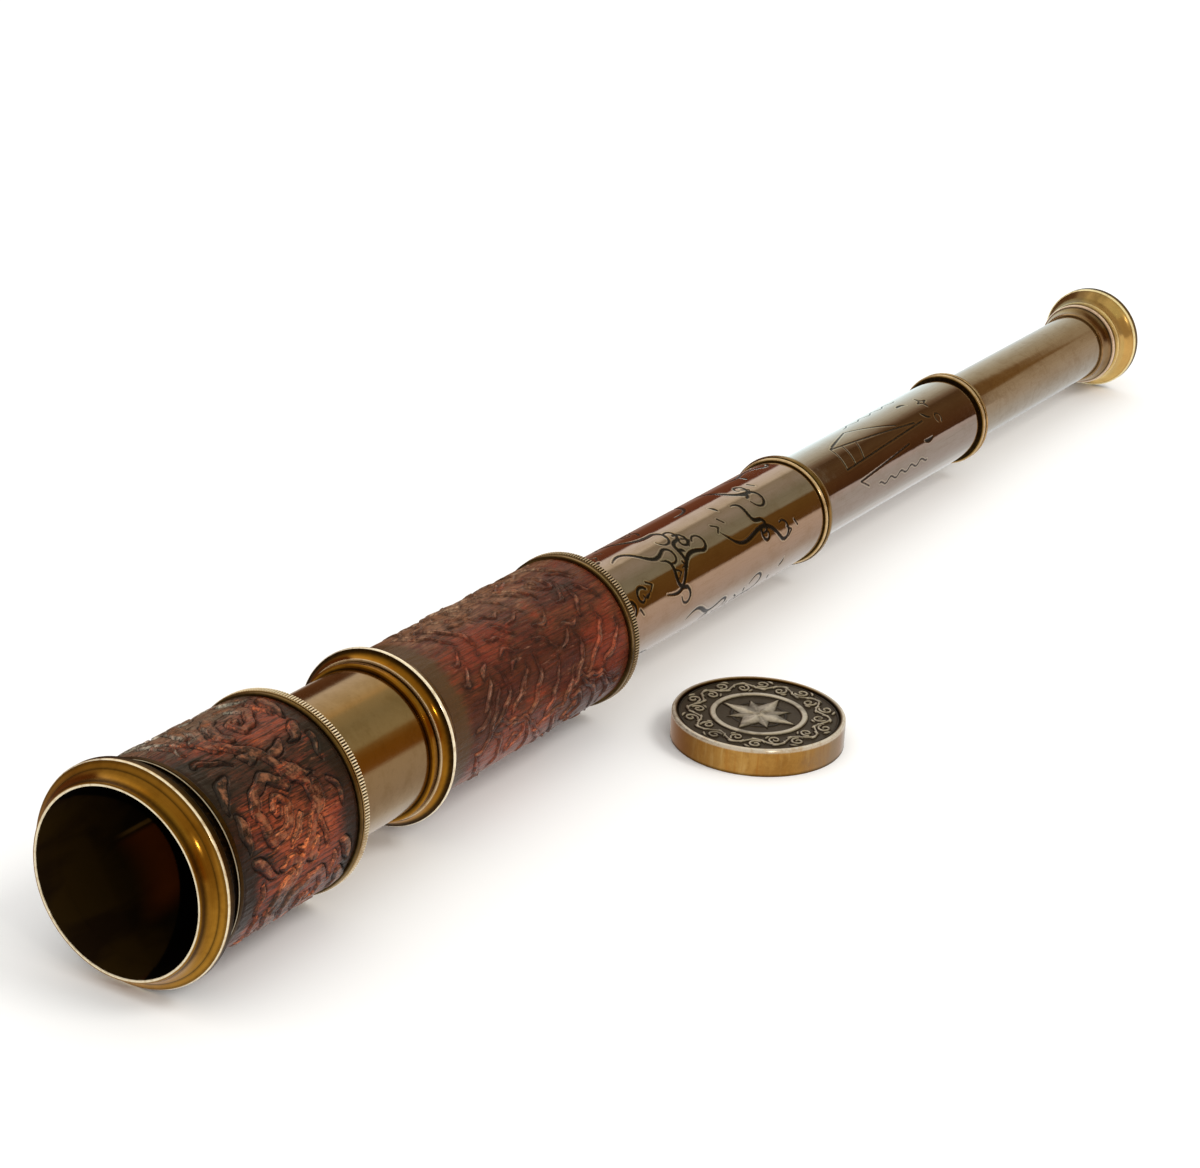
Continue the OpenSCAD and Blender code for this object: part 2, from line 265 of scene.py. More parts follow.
def flourish(s, x, angle, length, height, hook, hand=1, w=0.42, n=46):
    """A pen flourish: an S with a hooked end, swelling in the middle."""
    pts = []
    a = math.radians(angle)
    for i in range(n + 1):
        t = i / n
        u, v = length * t, hand * height * math.sin(TAU * t)
        pts.append((s + u * math.cos(a) - v * math.sin(a), x + u * math.sin(a) + v * math.cos(a)))
    (s1, x1), (s2, x2) = pts[-2:]
    b = math.atan2(x2 - x1, s2 - s1)
    for i in range(20):
        b -= hand * math.radians(12.5)
        s2 += hook * 0.22 * math.cos(b)
        x2 += hook * 0.22 * math.sin(b)
        pts.append((s2, x2))
    return stroke(pts, 0.12, 0.2, w)


def hash_noise(shape, cells, seed, periodic=True):
    """Smooth value noise on a grid of shape (x, s), with cells = (along x, round s)."""
    rng = np.random.default_rng(seed)
    cx, cs = max(1, int(cells[0])), max(2, int(cells[1]))
    g = rng.random((cx + 2, cs))
    u = np.linspace(0, cx, shape[0], endpoint=False)
    v = np.arange(shape[1]) / shape[1] * cs
    iu, iv = u.astype(int), v.astype(int)
    fu, fv = u - iu, v - iv
    fu, fv = fu * fu * (3 - 2 * fu), fv * fv * (3 - 2 * fv)
    a = g[iu][:, iv % cs]
    b = g[iu + 1][:, iv % cs]
    c = g[iu][:, (iv + 1) % cs]
    d = g[iu + 1][:, (iv + 1) % cs]
    fu, fv = fu[:, None], fv[None, :]
    return (a * (1 - fu) + b * fu) * (1 - fv) + (c * (1 - fu) + d * fu) * fv - 0.5


def sleeve(name, r_in, r_out, x0, x1, dense0, dense1, step, height, floats, n, end=0.25):
    """A closed sleeve whose outside is a dense grid from dense0 to dense1; height(x, s) gives the radial offset there."""
    nx = int(round((dense1 - dense0) / step)) + 1
    x = np.linspace(dense0, dense1, nx)
    s = np.arange(n) / n * TAU * r_out
    h, extra = height(x, s)
    rings = [(r_in, x0, None), (r_out - end, x0, None), (r_out - 0.3 * end, x0 + 0.3 * end, None), (r_out, x0 + end, None)]
    if dense0 > x0 + end + 0.5:
        rings.append((r_out, dense0 - 0.2, None))
    rings += [(r_out, xi, i) for i, xi in enumerate(x)]
    if dense1 < x1 - end - 0.5:
        rings.append((r_out, dense1 + 0.2, None))
    rings += [(r_out, x1 - end, None), (r_out - 0.3 * end, x1 - 0.3 * end, None), (r_out - end, x1, None), (r_in, x1, None)]
    kept = []
    for ring in rings:
        if kept and ring[0] == kept[-1][0] and abs(ring[1] - kept[-1][1]) < 1e-6:
            kept[-1] = ring
        else:
            kept.append(ring)
    rings = kept
    m = len(rings)
    th = np.arange(n) / n * TAU
    v = np.zeros((m, n, 3))
    vals = {k: np.full((m, n), far, float) for k, (far, _) in floats.items()}
    for i, (r, xx, g) in enumerate(rings):
        rr = np.full(n, r, float)
        if g is not None:
            rr = rr + h[g]
            for k, (far, key) in floats.items():
                vals[k][i] = extra[key][g]
        v[i, :, 0] = xx
        v[i, :, 1] = rr * np.cos(th)
        v[i, :, 2] = rr * np.sin(th)
    i = np.arange(m)[:, None]
    j = np.arange(n)[None, :]
    i2, j2 = (i + 1) % m, (j + 1) % n
    quads = np.stack([i * n + j, i * n + j2, i2 * n + j2, i2 * n + j], -1).reshape(-1, 4)[:, ::-1]
    return mesh_object(name, v.reshape(-1, 3), quads, floats={k: a.ravel() for k, a in vals.items()})


# ---------------------------------------------------------------- materials


class Shader:
    def __init__(self, name, **sockets):
        self.mat = bpy.data.materials.new(name)
        self.mat.use_nodes = True
        self.nt = self.mat.node_tree
        self.nt.nodes.clear()
        self.out = self.nt.nodes.new("ShaderNodeOutputMaterial")
        self.b = self.nt.nodes.new("ShaderNodeBsdfPrincipled")
        self.nt.links.new(self.b.outputs[0], self.out.inputs[0])
        for k, v in sockets.items():
            self.b.inputs[k.replace("_", " ")].default_value = v
        co = self.nt.nodes.new("ShaderNodeTexCoord")
        self.p = self.vm("MULTIPLY", co.outputs["Object"], (1000, 1000, 1000))

    def put(self, socket, value):
        if isinstance(value, bpy.types.NodeSocket):
            self.nt.links.new(value, socket)
        else:
            socket.default_value = value

    def vm(self, op, a, b=None):
        n = self.nt.nodes.new("ShaderNodeVectorMath")
        n.operation = op
        self.put(n.inputs[0], a)
        if b is not None:
            self.put(n.inputs[1], b)
        return n.outputs["Value"] if op in ("LENGTH", "DOT_PRODUCT") else n.outputs["Vector"]

    def m(self, op, a, b=None, clamp=False):
        n = self.nt.nodes.new("ShaderNodeMath")
        n.operation = op
        n.use_clamp = clamp
        self.put(n.inputs[0], a)
        if b is not None:
            self.put(n.inputs[1], b)
        return n.outputs[0]

    def xyz(self, v):
        n = self.nt.nodes.new("ShaderNodeSeparateXYZ")
        self.put(n.inputs[0], v)
        return n.outputs

    def vec(self, x, y, z):
        n = self.nt.nodes.new("ShaderNodeCombineXYZ")
        for i, v in enumerate((x, y, z)):
            self.put(n.inputs[i], v)
        return n.outputs[0]

    def attr(self, name):
        n = self.nt.nodes.new("ShaderNodeAttribute")
        n.attribute_name = name
        return n.outputs["Fac"]

    def noise(self, v, scale, detail=2.0, rough=0.5, distort=0.0):
        n = self.nt.nodes.new("ShaderNodeTexNoise")
        self.put(n.inputs["Vector"], v)
        n.inputs["Scale"].default_value = scale
        n.inputs["Detail"].default_value = detail
        n.inputs["Roughness"].default_value = rough
        n.inputs["Distortion"].default_value = distort
        return n.outputs["Fac"]

    def voronoi(self, v, scale, feature="DISTANCE_TO_EDGE"):
        n = self.nt.nodes.new("ShaderNodeTexVoronoi")
        n.feature = feature
        self.put(n.inputs["Vector"], v)
        n.inputs["Scale"].default_value = scale
        return n.outputs["Distance"]

    def ramp(self, fac, stops, interp="LINEAR"):
        n = self.nt.nodes.new("ShaderNodeValToRGB")
        n.color_ramp.interpolation = interp
        e = n.color_ramp.elements
        while len(e) > 1:
            e.remove(e[-1])
        e[0].position = stops[0][0]
        e[0].color = (*stops[0][1], 1)
        for pos, col in stops[1:]:
            el = e.new(pos)
            el.color = (*col, 1)
        self.put(n.inputs[0], fac)
        return n.outputs[0]

    def rng(self, v, a, b, c=0.0, d=1.0, smooth=True):
        n = self.nt.nodes.new("ShaderNodeMapRange")
        n.interpolation_type = "SMOOTHSTEP" if smooth else "LINEAR"
        self.put(n.inputs[0], v)
        for i, w in enumerate((a, b, c, d)):
            self.put(n.inputs[i + 1], w)
        return n.outputs[0]

    def mix(self, f, a, b, mode="MIX"):
        n = self.nt.nodes.new("ShaderNodeMix")
        n.data_type = "RGBA"
        n.blend_type = mode
        n.clamp_factor = True
        self.put(n.inputs[0], f)
        for i, v in ((6, a), (7, b)):
            self.put(n.inputs[i], (*v, 1) if isinstance(v, tuple) and len(v) == 3 else v)
        return n.outputs[2]

    def bump(self, height, strength, distance, chain=None):
        n = self.nt.nodes.new("ShaderNodeBump")
        n.inputs["Strength"].default_value = strength
        n.inputs["Distance"].default_value = distance
        self.put(n.inputs["Height"], height)
        if chain is not None:
            self.put(n.inputs["Normal"], chain)
        return n.outputs[0]

    def set(self, **links):
        for k, v in links.items():
            self.put(self.b.inputs[k.replace("_", " ")], v)
        return self.mat


def brass(name, base, old, rough, along=0.0, rings=1.0, mottle=0.5, axis="x", spots=0.0, worn_highlight=(0.95, 0.76, 0.52), metal=1.0, streaks_and_side_shade=False, shaded_side=0.0):
    """Old brass: base colour at places of wear, old where it has gone brown; fine turning lines; soiling and painted
    shade in the corners and grooves; pale edges that are wear and painted highlight; optionally one side painted darker
    as shade, and on the cap's wall painted shade and reflection.
    """
    g = Shader(name)
    x, y, z = g.xyz(g.p)[:3]
    if axis == "x":
        r = g.m("SQRT", g.m("ADD", g.m("MULTIPLY", y, y), g.m("MULTIPLY", z, z)))
        turned = g.vec(x, r, 0.0)
        drawn = g.vec(g.m("MULTIPLY", x, 0.05), y, z)
    else:
        turned = drawn = g.p
    cloud = g.noise(g.p, 0.16, 3, 0.6, 0.4)
    fine = g.noise(g.p, 1.1, 4, 0.65)
    stain = g.m("ADD", g.m("MULTIPLY", cloud, 0.7), g.m("MULTIPLY", fine, 0.3))
    colour = g.mix(g.rng(stain, 0.42, 0.66, 0.0, mottle), base, old)
    if spots:
        spot = g.noise(g.p, 0.9, 2, 0.5, 0.6)
        colour = g.mix(g.rng(spot, 0.60, 0.72, 0.0, spots), colour, tuple(c * 0.55 for c in old))
    # painted shade: the side towards +y painted darker brown
    if shaded_side:
        colour = g.mix(g.rng(g.m("ADD", y, g.m("MULTIPLY", g.m("SUBTRACT", cloud, 0.5), 9.0)), -6.5, 3.5, 0.0, shaded_side), colour, (0.13, 0.068, 0.021))
    if streaks_and_side_shade:
        upright = g.noise(g.vec(x, y, g.m("MULTIPLY", z, 0.12)), 0.42, 3, 0.65, 0.2)
        colour = g.mix(g.rng(upright, 0.52, 0.68, 0.0, 0.55), colour, (0.46, 0.185, 0.028))
        colour = g.mix(g.rng(upright, 0.46, 0.32, 0.0, 0.45), colour, (0.74, 0.50, 0.20))
        # painted shade and painted reflection: the cap's wall is painted dark brown on one side and pale grey on the
        # other, as light and reflections fall over it
        shade_across = g.m("ADD", g.m("MULTIPLY", g.m("SUBTRACT", x, 187.8), 0.0252), g.m("MULTIPLY", g.m("ADD", y, 45.0), -0.0404))
        shade_across = g.m("ADD", shade_across, g.m("MULTIPLY", g.m("SUBTRACT", cloud, 0.5), 0.6))
        colour = g.mix(g.rng(shade_across, -0.35, -0.95, 0.0, 0.85), colour, (0.20, 0.075, 0.014))
        colour = g.mix(g.rng(shade_across, 0.35, 0.90, 0.0, 0.80), colour, (0.46, 0.37, 0.27))
    line = g.noise(turned, 7.0, 1, 0.5)
    streak = g.noise(drawn, 5.0, 2, 0.6)
    colour = g.mix(g.rng(line, 0.35, 0.7, 0.0, 0.22 * rings), colour, tuple(c * 0.6 for c in base))
    # wear and painted highlight: a pale, less metallic colour on the edges and knurl tips that the profile marks
    wear_and_highlight = g.attr("wear_and_highlight")
    wear_highlight_mask = g.m("MULTIPLY", wear_and_highlight, g.rng(g.noise(g.p, 0.7, 3, 0.6), 0.3, 0.55, 0.72, 1.0))
    colour = g.mix(wear_highlight_mask, colour, worn_highlight)
    # soiling and painted shade: near black in the corners and grooves that the profile marks
    grime_and_shade = g.attr("grime_and_shade")
    dirt_and_shade = g.m("MULTIPLY", grime_and_shade, g.rng(fine, 0.2, 0.6, 0.9, 1.0), clamp=True)
    colour = g.mix(dirt_and_shade, colour, (0.006, 0.004, 0.003))
    rr = g.m("ADD", g.m("MULTIPLY", g.noise(g.p, 0.5, 3, 0.6), 0.10), rough - 0.05)
    rr = g.m("ADD", rr, g.m("MULTIPLY", grime_and_shade, 0.3), clamp=True)
    n1 = g.bump(line, 0.10 * rings + 0.001, 0.00006)
    n2 = g.bump(streak, 0.10 * along + 0.001, 0.00005, n1)
    return g.set(Base_Color=colour, Roughness=rr, Metallic=g.rng(wear_highlight_mask, 0.0, 1.0, metal, 0.35, smooth=False), Normal=n2)


def engraved(name, base, old, rough, mottle, blot=0.0, halo_dark=0.35):
    """Polished draw tube with blackened engraving where the line attribute is small."""
    g = Shader(name, Metallic=1.0)
    x, y, z = g.xyz(g.p)[:3]
    drawn = g.vec(g.m("MULTIPLY", x, 0.04), y, z)
    cloud = g.noise(g.vec(g.m("MULTIPLY", x, 0.5), y, z), 0.22, 3, 0.6, 0.3)
    fine = g.noise(g.p, 1.3, 4, 0.7)
    stain = g.m("ADD", g.m("MULTIPLY", cloud, 0.7), g.m("MULTIPLY", fine, 0.3))
    colour = g.mix(g.rng(stain, 0.44, 0.68, 0.0, mottle), base, old)
    streak = g.noise(drawn, 3.0, 2, 0.6)
    colour = g.mix(g.rng(streak, 0.45, 0.75, 0.0, 0.28), colour, old)
    if blot:
        b = g.noise(g.p, 0.30, 4, 0.65, 0.8)
        colour = g.mix(g.rng(b, 0.50, 0.64, 0.0, blot), colour, old)
    d = g.attr("line")
    wob = g.m("ADD", d, g.m("MULTIPLY", g.m("SUBTRACT", g.noise(g.p, 1.7, 3, 0.6), 0.5), 0.45))
    halo = g.rng(wob, 0.0, 1.3, 1.0, 0.0)
    ink = g.rng(wob, -0.12, 0.12, 1.0, 0.0)
    # painted highlight: a pale band along the edge of each engraved line
    lip_highlight = g.m("MULTIPLY", g.rng(wob, 0.1, 0.25), g.rng(wob, 0.3, 0.55, 1.0, 0.0))
    colour = g.mix(g.m("MULTIPLY", halo, halo_dark), colour, tuple(c * 0.5 for c in old))
    colour = g.mix(g.m("MULTIPLY", lip_highlight, 0.35), colour, (0.95, 0.82, 0.6))
    colour = g.mix(g.m("MULTIPLY", ink, 0.96), colour, (0.012, 0.010, 0.006))
    rr = g.m("ADD", g.m("MULTIPLY", g.noise(g.p, 0.4, 3, 0.6), 0.06), rough - 0.03)
    rr = g.m("ADD", rr, g.m("MULTIPLY", ink, 0.3), clamp=True)
    n1 = g.bump(streak, 0.07, 0.00005)
    n2 = g.bump(g.noise(g.p, 0.35, 2, 0.5), 0.05, 0.0003, n1)
    return g.set(Base_Color=colour, Roughness=rr, Normal=n2)


def hide(name, palette, groove, edge, olive, worn_and_highlight_colour, seed=0.0, brush_dark=0.6, blot=1.0, back=(0.0, 1.0), patches=(), shine=0.26, scuffs_and_highlight=0.6, outline=(0.12, 0.50), wear_and_highlight=0.95, shade=0.85, even=0.0):
    """Brushed and tooled leather. line is the distance to a stroke's edge in millimetres, below 0 on it; end the distance to the nearer end."""
    g = Shader(name, Metallic=0.0, IOR=1.45)
    g.b.inputs["Specular IOR Level"].default_value = shine
    q = g.vm("ADD", g.p, (seed, seed * 1.7, -seed))
    x, y, z = g.xyz(q)[:3]
    brush = g.vec(g.m("MULTIPLY", x, 0.10), y, z)
    big = g.noise(g.vec(g.m("MULTIPLY", x, 0.7), y, z), 0.085 * blot, 3, 0.55, 0.5)
    mid = g.noise(g.vec(g.m("MULTIPLY", x, 0.45), y, z), 0.30, 3, 0.65, 0.6)
    hair = g.noise(brush, 1.5, 4, 0.75)
    bars = g.noise(g.vec(g.m("MULTIPLY", x, 0.07), y, z), 0.85, 2, 0.6, 0.3)
    t = g.m("ADD", g.m("ADD", g.m("MULTIPLY", big, 0.46), g.m("MULTIPLY", mid, 0.16)), g.m("ADD", g.m("MULTIPLY", hair, 0.20), g.m("MULTIPLY", bars, 0.18)))
    colour = g.ramp(g.rng(t, 0.34, 0.66, smooth=False), palette)
    colour = g.mix(g.rng(g.noise(g.vec(g.m("MULTIPLY", x, 0.05), z, y), 2.4, 2, 0.7), 0.56, 0.68, 0.0, brush_dark * 0.7), colour, palette[-1][1])
    for (px, deg, rx, rr, strength), paint in patches:
        a = math.radians(deg)
        off = g.vm("MULTIPLY", g.vm("SUBTRACT", g.p, (px, -rr[0] * math.sin(a), rr[0] * math.cos(a))), (1.0 / rx, 1.0 / rr[1], 1.0 / rr[1]))
        far = g.m("ADD", g.vm("LENGTH", off), g.m("MULTIPLY", g.m("SUBTRACT", mid, 0.5), 1.8))
        far = g.m("ADD", far, g.m("MULTIPLY", g.m("SUBTRACT", hair, 0.5), 0.9))
        colour = g.mix(g.rng(far, 0.60, 1.20, strength, 0.0), colour, paint)
    colour = g.mix(g.rng(g.noise(g.vec(g.m("MULTIPLY", x, 0.06), y, z), 2.1, 3, 0.8), 0.48, 0.58, 0.0, brush_dark), colour, tuple(c * 0.6 for c in palette[0][1]))
    pale = g.noise(g.vec(g.m("MULTIPLY", x, 0.16), y, z), 1.1, 4, 0.75, 0.3)
    colour = g.mix(g.rng(pale, 0.60, 0.74, 0.0, 0.45), colour, worn_and_highlight_colour)
    ends = g.attr("end")
    near = g.m("ADD", ends, g.m("MULTIPLY", g.m("SUBTRACT", mid, 0.5), 5.0))
    border = g.rng(near, edge * 0.55, edge, 0.9, 0.0)
    if back[0]:
        border = g.m("MULTIPLY", border, g.rng(g.xyz(g.p)[0], back[0] - 8.0, back[0] + 8.0, 1.0, back[1]))
    if even:
        # less of the dark end band on the upper far side and underneath
        yy, zz = g.xyz(g.p)[1:3]
        border = g.m("MULTIPLY", border, g.rng(yy, -6.0, 5.0, 1.0, 1.0 - even))
        border = g.m("MULTIPLY", border, g.rng(zz, -10.0, -17.0, 1.0, 1.0 - even * 0.8))
    colour = g.mix(border, colour, olive)
    d = g.attr("line")
    wob = g.m("ADD", d, g.m("MULTIPLY", g.m("SUBTRACT", g.noise(g.p, 1.4, 3, 0.6), 0.5), 0.35))
    heavy = g.rng(g.noise(g.p, 0.33, 3, 0.6), 0.40, 0.60, *outline)
    cut = g.m("MULTIPLY", g.rng(wob, -0.06, 0.10), g.rng(g.m("SUBTRACT", wob, heavy), -0.15, 0.22, 1.0, 0.0))
    wash = g.rng(wob, 0.3, 1.6, 0.55, 0.0)
    patchy = g.rng(g.noise(g.p, 0.5, 3, 0.6), 0.36, 0.60)
    colour = g.mix(g.m("MULTIPLY", wash, patchy), colour, tuple(c * 0.6 for c in palette[0][1]))
    # dark in the grooves round the strokes: dye settled there, and painted shade
    colour = g.mix(g.m("MULTIPLY", cut, g.rng(patchy, 0.0, 1.0, groove * 0.7, groove)), colour, (0.007, 0.003, 0.002))
    # wear and painted highlight: the crowns of the strokes paler in patchy spots
    crown = g.rng(wob, -0.75, -0.10, 1.0, 0.0)
    scuff = g.rng(g.noise(g.p, 0.45, 4, 0.7), 0.42, 0.66)
    colour = g.mix(g.m("MULTIPLY", g.m("MULTIPLY", crown, scuff), scuffs_and_highlight), colour, worn_and_highlight_colour)
    # painted light: paler on the upper sides of the strokes and painted shade on their lower sides, as if the light
    # came from above
    painted_light = g.attr("painted_light")
    rag = g.m("MULTIPLY", g.m("SUBTRACT", g.noise(g.p, 0.9, 3, 0.7), 0.5), 0.5)
    colour = g.mix(g.m("MULTIPLY", g.rng(g.m("ADD", painted_light, rag), 0.20, 0.85), wear_and_highlight), colour, g.mix(1.0, colour, (2.5, 3.6, 4.4), "MULTIPLY"))
    colour = g.mix(g.m("MULTIPLY", g.rng(g.m("ADD", painted_light, rag), -0.15, -0.75), shade), colour, g.mix(1.0, colour, (0.16, 0.16, 0.18), "MULTIPLY"))
    rough = g.rng(hair, 0.3, 0.7, 0.42, 0.26)
    rough = g.m("SUBTRACT", g.m("ADD", rough, g.m("MULTIPLY", cut, 0.3)), g.m("MULTIPLY", crown, 0.08))
    grain = g.voronoi(g.p, 2.6)
    n1 = g.bump(hair, 0.55, 0.00018)
    n2 = g.bump(g.rng(grain, 0.0, 0.12), 0.10, 0.00010, n1)
    n3 = g.bump(g.noise(g.p, 2.0, 3, 0.6), 0.35, 0.00014, n2)
    return g.set(Base_Color=colour, Roughness=rough, Normal=n3)


def inner_wall(name):
    """Dark, lacquered wall inside the sunshade, with painted light and shadow: a painted red-brown pool of light where
    light comes in through the mouth, painted black shadow beyond the line of the rim's shadow in front of the
    objective, and the brazed seam.
    """
    g = Shader(name, Metallic=0.0)
    g.b.inputs["Specular IOR Level"].default_value = 0.12
    x, y, z = g.xyz(g.p)[:3]
    cloud = g.noise(g.vec(g.m("MULTIPLY", x, 0.35), y, z), 0.12, 3, 0.5, 0.4)
    colour = g.mix(g.rng(cloud, 0.40, 0.62), (0.026, 0.013, 0.0015), (0.014, 0.006, 0.001))
    # painted shadow: the plane that the rim's shadow follows inside; depth is how far in front of it a point lies
    edge = g.m("ADD", g.m("ADD", g.m("MULTIPLY", y, 2.02), g.m("MULTIPLY", z, -1.42)), -12.8)
    depth = g.m("SUBTRACT", edge, x)
    # painted light: a red-brown pool on one side, just in front of the shadow line
    warm = g.m("MULTIPLY", g.rng(depth, 15.0, 2.0), g.rng(g.m("ADD", g.m("MULTIPLY", y, -0.276), g.m("MULTIPLY", z, -0.961)), 0.2, 2.0))
    warm = g.m("MULTIPLY", warm, g.rng(z, -20.6, -17.5))
    colour = g.mix(warm, colour, (0.16, 0.034, 0.002))
    seam = g.m("ABSOLUTE", g.m("ADD", g.m("ADD", g.m("MULTIPLY", y, 0.276), g.m("MULTIPLY", z, 0.961)), 0.0))
    seam = g.m("MULTIPLY", g.rng(seam, 0.15, 0.75, 1.0, 0.0), g.m("GREATER_THAN", y, 0.0))
    seam = g.m("MULTIPLY", seam, g.rng(x, 24.0, 33.0))
    colour = g.mix(g.m("MULTIPLY", seam, 0.6), colour, (0.30, 0.15, 0.03))
    # painted shadow: near black beyond the shadow line, in front of the objective
    colour = g.mix(g.rng(depth, 0.3, -0.6), colour, (0.0012, 0.0006, 0.0005))
    return g.set(Base_Color=colour, Roughness=g.rng(cloud, 0.3, 0.7, 0.5, 0.6), Normal=g.bump(cloud, 0.02, 0.0001))


def blackened(name, base, rough, warm):
    g = Shader(name, Metallic=0.6)
    x, y, z = g.xyz(g.p)[:3]
    a = g.noise(g.vec(g.m("MULTIPLY", x, 0.3), y, z), 0.25, 3, 0.6, 0.5)
    colour = g.mix(g.rng(a, 0.42, 0.65), base, warm)
    rr = g.m("ADD", g.m("MULTIPLY", g.noise(g.p, 0.8, 3, 0.6), 0.15), rough - 0.08)
    return g.set(Base_Color=colour, Roughness=rr, Normal=g.bump(g.noise(g.p, 3.0, 3, 0.6), 0.1, 0.0001))


def glass(name, tint):
    g = Shader(name, IOR=1.52, Metallic=0.0)
    g.b.inputs["Transmission Weight"].default_value = 1.0
    haze = g.noise(g.p, 0.4, 4, 0.6)
    colour = g.mix(g.rng(haze, 0.3, 0.8), tint, tuple(c * 0.92 for c in tint))
    return g.set(Base_Color=colour, Roughness=g.rng(haze, 0.35, 0.8, 0.0, 0.05))


def pewter(name):
    """The struck disc: dark in the ground, painted shade at the foot of the relief, paler towards its top as wear and
    painted highlight.
    """
    g = Shader(name, Metallic=0.85)
    h = g.attr("relief")
    fine = g.noise(g.p, 1.5, 4, 0.65)
    high = g.m("ADD", h, g.m("MULTIPLY", g.m("SUBTRACT", fine, 0.5), 0.30))
    colour = g.ramp(g.rng(high, 0.0, 1.0, smooth=False),
                    [(0.0, (0.070, 0.055, 0.040)), (0.10, (0.110, 0.088, 0.066)), (0.20, (0.022, 0.016, 0.012)), (0.42, (0.030, 0.023, 0.018)), (0.66, (0.20, 0.175, 0.14)),
                     (0.9, (0.50, 0.45, 0.37)), (1.0, (0.58, 0.53, 0.44))])
    blot = g.noise(g.p, 0.16, 3, 0.6, 0.4)
    colour = g.mix(g.rng(blot, 0.46, 0.66, 0.0, 0.55), colour, (0.055, 0.042, 0.032))
    rr = g.rng(high, 0.0, 1.0, 0.46, 0.28)
    return g.set(Base_Color=colour, Roughness=rr, Normal=g.bump(fine, 0.25, 0.0001))


ochre = brass("ochre_brass", (0.46, 0.225, 0.028), (0.30, 0.13, 0.012), 0.17, rings=1.2, mottle=0.6, worn_highlight=(0.92, 0.82, 0.60))
flange_gold = brass("flange_brass", (0.44, 0.20, 0.018), (0.26, 0.10, 0.008), 0.15, rings=0.8, mottle=0.6, worn_highlight=(0.95, 0.84, 0.62))
bright = brass("bright_brass", (0.82, 0.54, 0.17), (0.46, 0.27, 0.07), 0.19, rings=0.8, mottle=0.35, metal=0.82, worn_highlight=(0.98, 0.84, 0.45), shaded_side=0.9)
collar = brass("collar_brass", (0.46, 0.28, 0.07), (0.22, 0.115, 0.028), 0.15, rings=0.6, mottle=0.5, worn_highlight=(0.86, 0.66, 0.42))
cove = brass("brown_brass", (0.50, 0.33, 0.16), (0.28, 0.16, 0.06), 0.20, rings=0.6, mottle=0.5, worn_highlight=(0.95, 0.72, 0.55))
knurled_dull = brass("knurled_brass_dull", (0.36, 0.225, 0.075), (0.18, 0.095, 0.028), 0.20, rings=0.2, mottle=0.6, worn_highlight=(0.55, 0.42, 0.26))
knurled = brass("knurled_brass", (0.50, 0.31, 0.10), (0.22, 0.12, 0.035), 0.20, rings=0.2, mottle=0.6, worn_highlight=(0.98, 0.84, 0.60))
bare = brass("aged_brass", (0.38, 0.255, 0.13), (0.27, 0.165, 0.06), 0.14, along=1.0, rings=0.2, mottle=0.45, spots=0.12)
cap_gold = brass("cap_brass", (0.58, 0.32, 0.085), (0.38, 0.18, 0.04), 0.22, rings=0.0, mottle=0.7, axis="z", worn_highlight=(0.60, 0.54, 0.44), streaks_and_side_shade=True)
inner = brass("bush_brass", (0.45, 0.33, 0.14), (0.25, 0.16, 0.06), 0.3, rings=0.5)
draw_one = engraved("polished_brass_1", (0.47, 0.36, 0.27), (0.36, 0.25, 0.15), 0.07, 0.5)
draw_two = engraved("polished_brass_2", (0.46, 0.37, 0.30), (0.34, 0.24, 0.16), 0.07, 0.4, halo_dark=0.2)
draw_three = engraved("polished_brass_3", (0.48, 0.39, 0.27), (0.36, 0.26, 0.15), 0.12, 0.45, blot=0.40)
shade_hide = hide("tooled_leather_shade",
                  [(0.0, (0.012, 0.007, 0.004)), (0.28, (0.020, 0.010, 0.005)), (0.40, (0.065, 0.014, 0.006)), (0.56, (0.125, 0.019, 0.007)),
                   (0.70, (0.22, 0.036, 0.010)), (0.85, (0.30, 0.055, 0.014)), (1.0, (0.36, 0.085, 0.022))],
                  0.70, 6.0, (0.012, 0.006, 0.003), (0.30, 0.110, 0.048), seed=31.0, brush_dark=0.8, even=0.8,
                  # patches: the pale olive-grey one over the top (-44 degrees) is painted sheen, the pinkish one
                  # underneath (150 degrees) a painted reflection of the floor; the others give uneven colour
                  patches=[((26.0, 30.0, 24.0, (22.6, 6.0), 0.80), (0.024, 0.011, 0.006)), ((29.0, 112.0, 6.0, (22.6, 4.0), 0.85), (0.022, 0.010, 0.006)),
                           ((46.0, 54.0, 7.5, (22.6, 5.5), 0.75), (0.026, 0.010, 0.005)), ((33.0, 84.0, 9.0, (22.6, 7.0), 0.55), (0.33, 0.055, 0.011)),
                           ((29.0, -44.0, 32.0, (22.6, 16.5), 0.78), (0.215, 0.140, 0.088)), ((30.0, 60.0, 7.0, (22.6, 5.0), 0.5), (0.32, 0.055, 0.013)), ((42.0, 10.0, 11.0, (22.6, 6.0), 0.5), (0.22, 0.042, 0.018)),
                           ((44.0, 104.0, 9.0, (22.6, 8.0), 0.5), (0.25, 0.046, 0.017)), ((33.0, 150.0, 20.0, (22.6, 9.0), 0.6), (0.26, 0.095, 0.062)),
                           ((30.0, 215.0, 18.0, (22.6, 9.0), 0.7), (0.018, 0.008, 0.005)), ((40.0, 275.0, 12.0, (22.6, 10.0), 0.6), (0.025, 0.010, 0.006))])
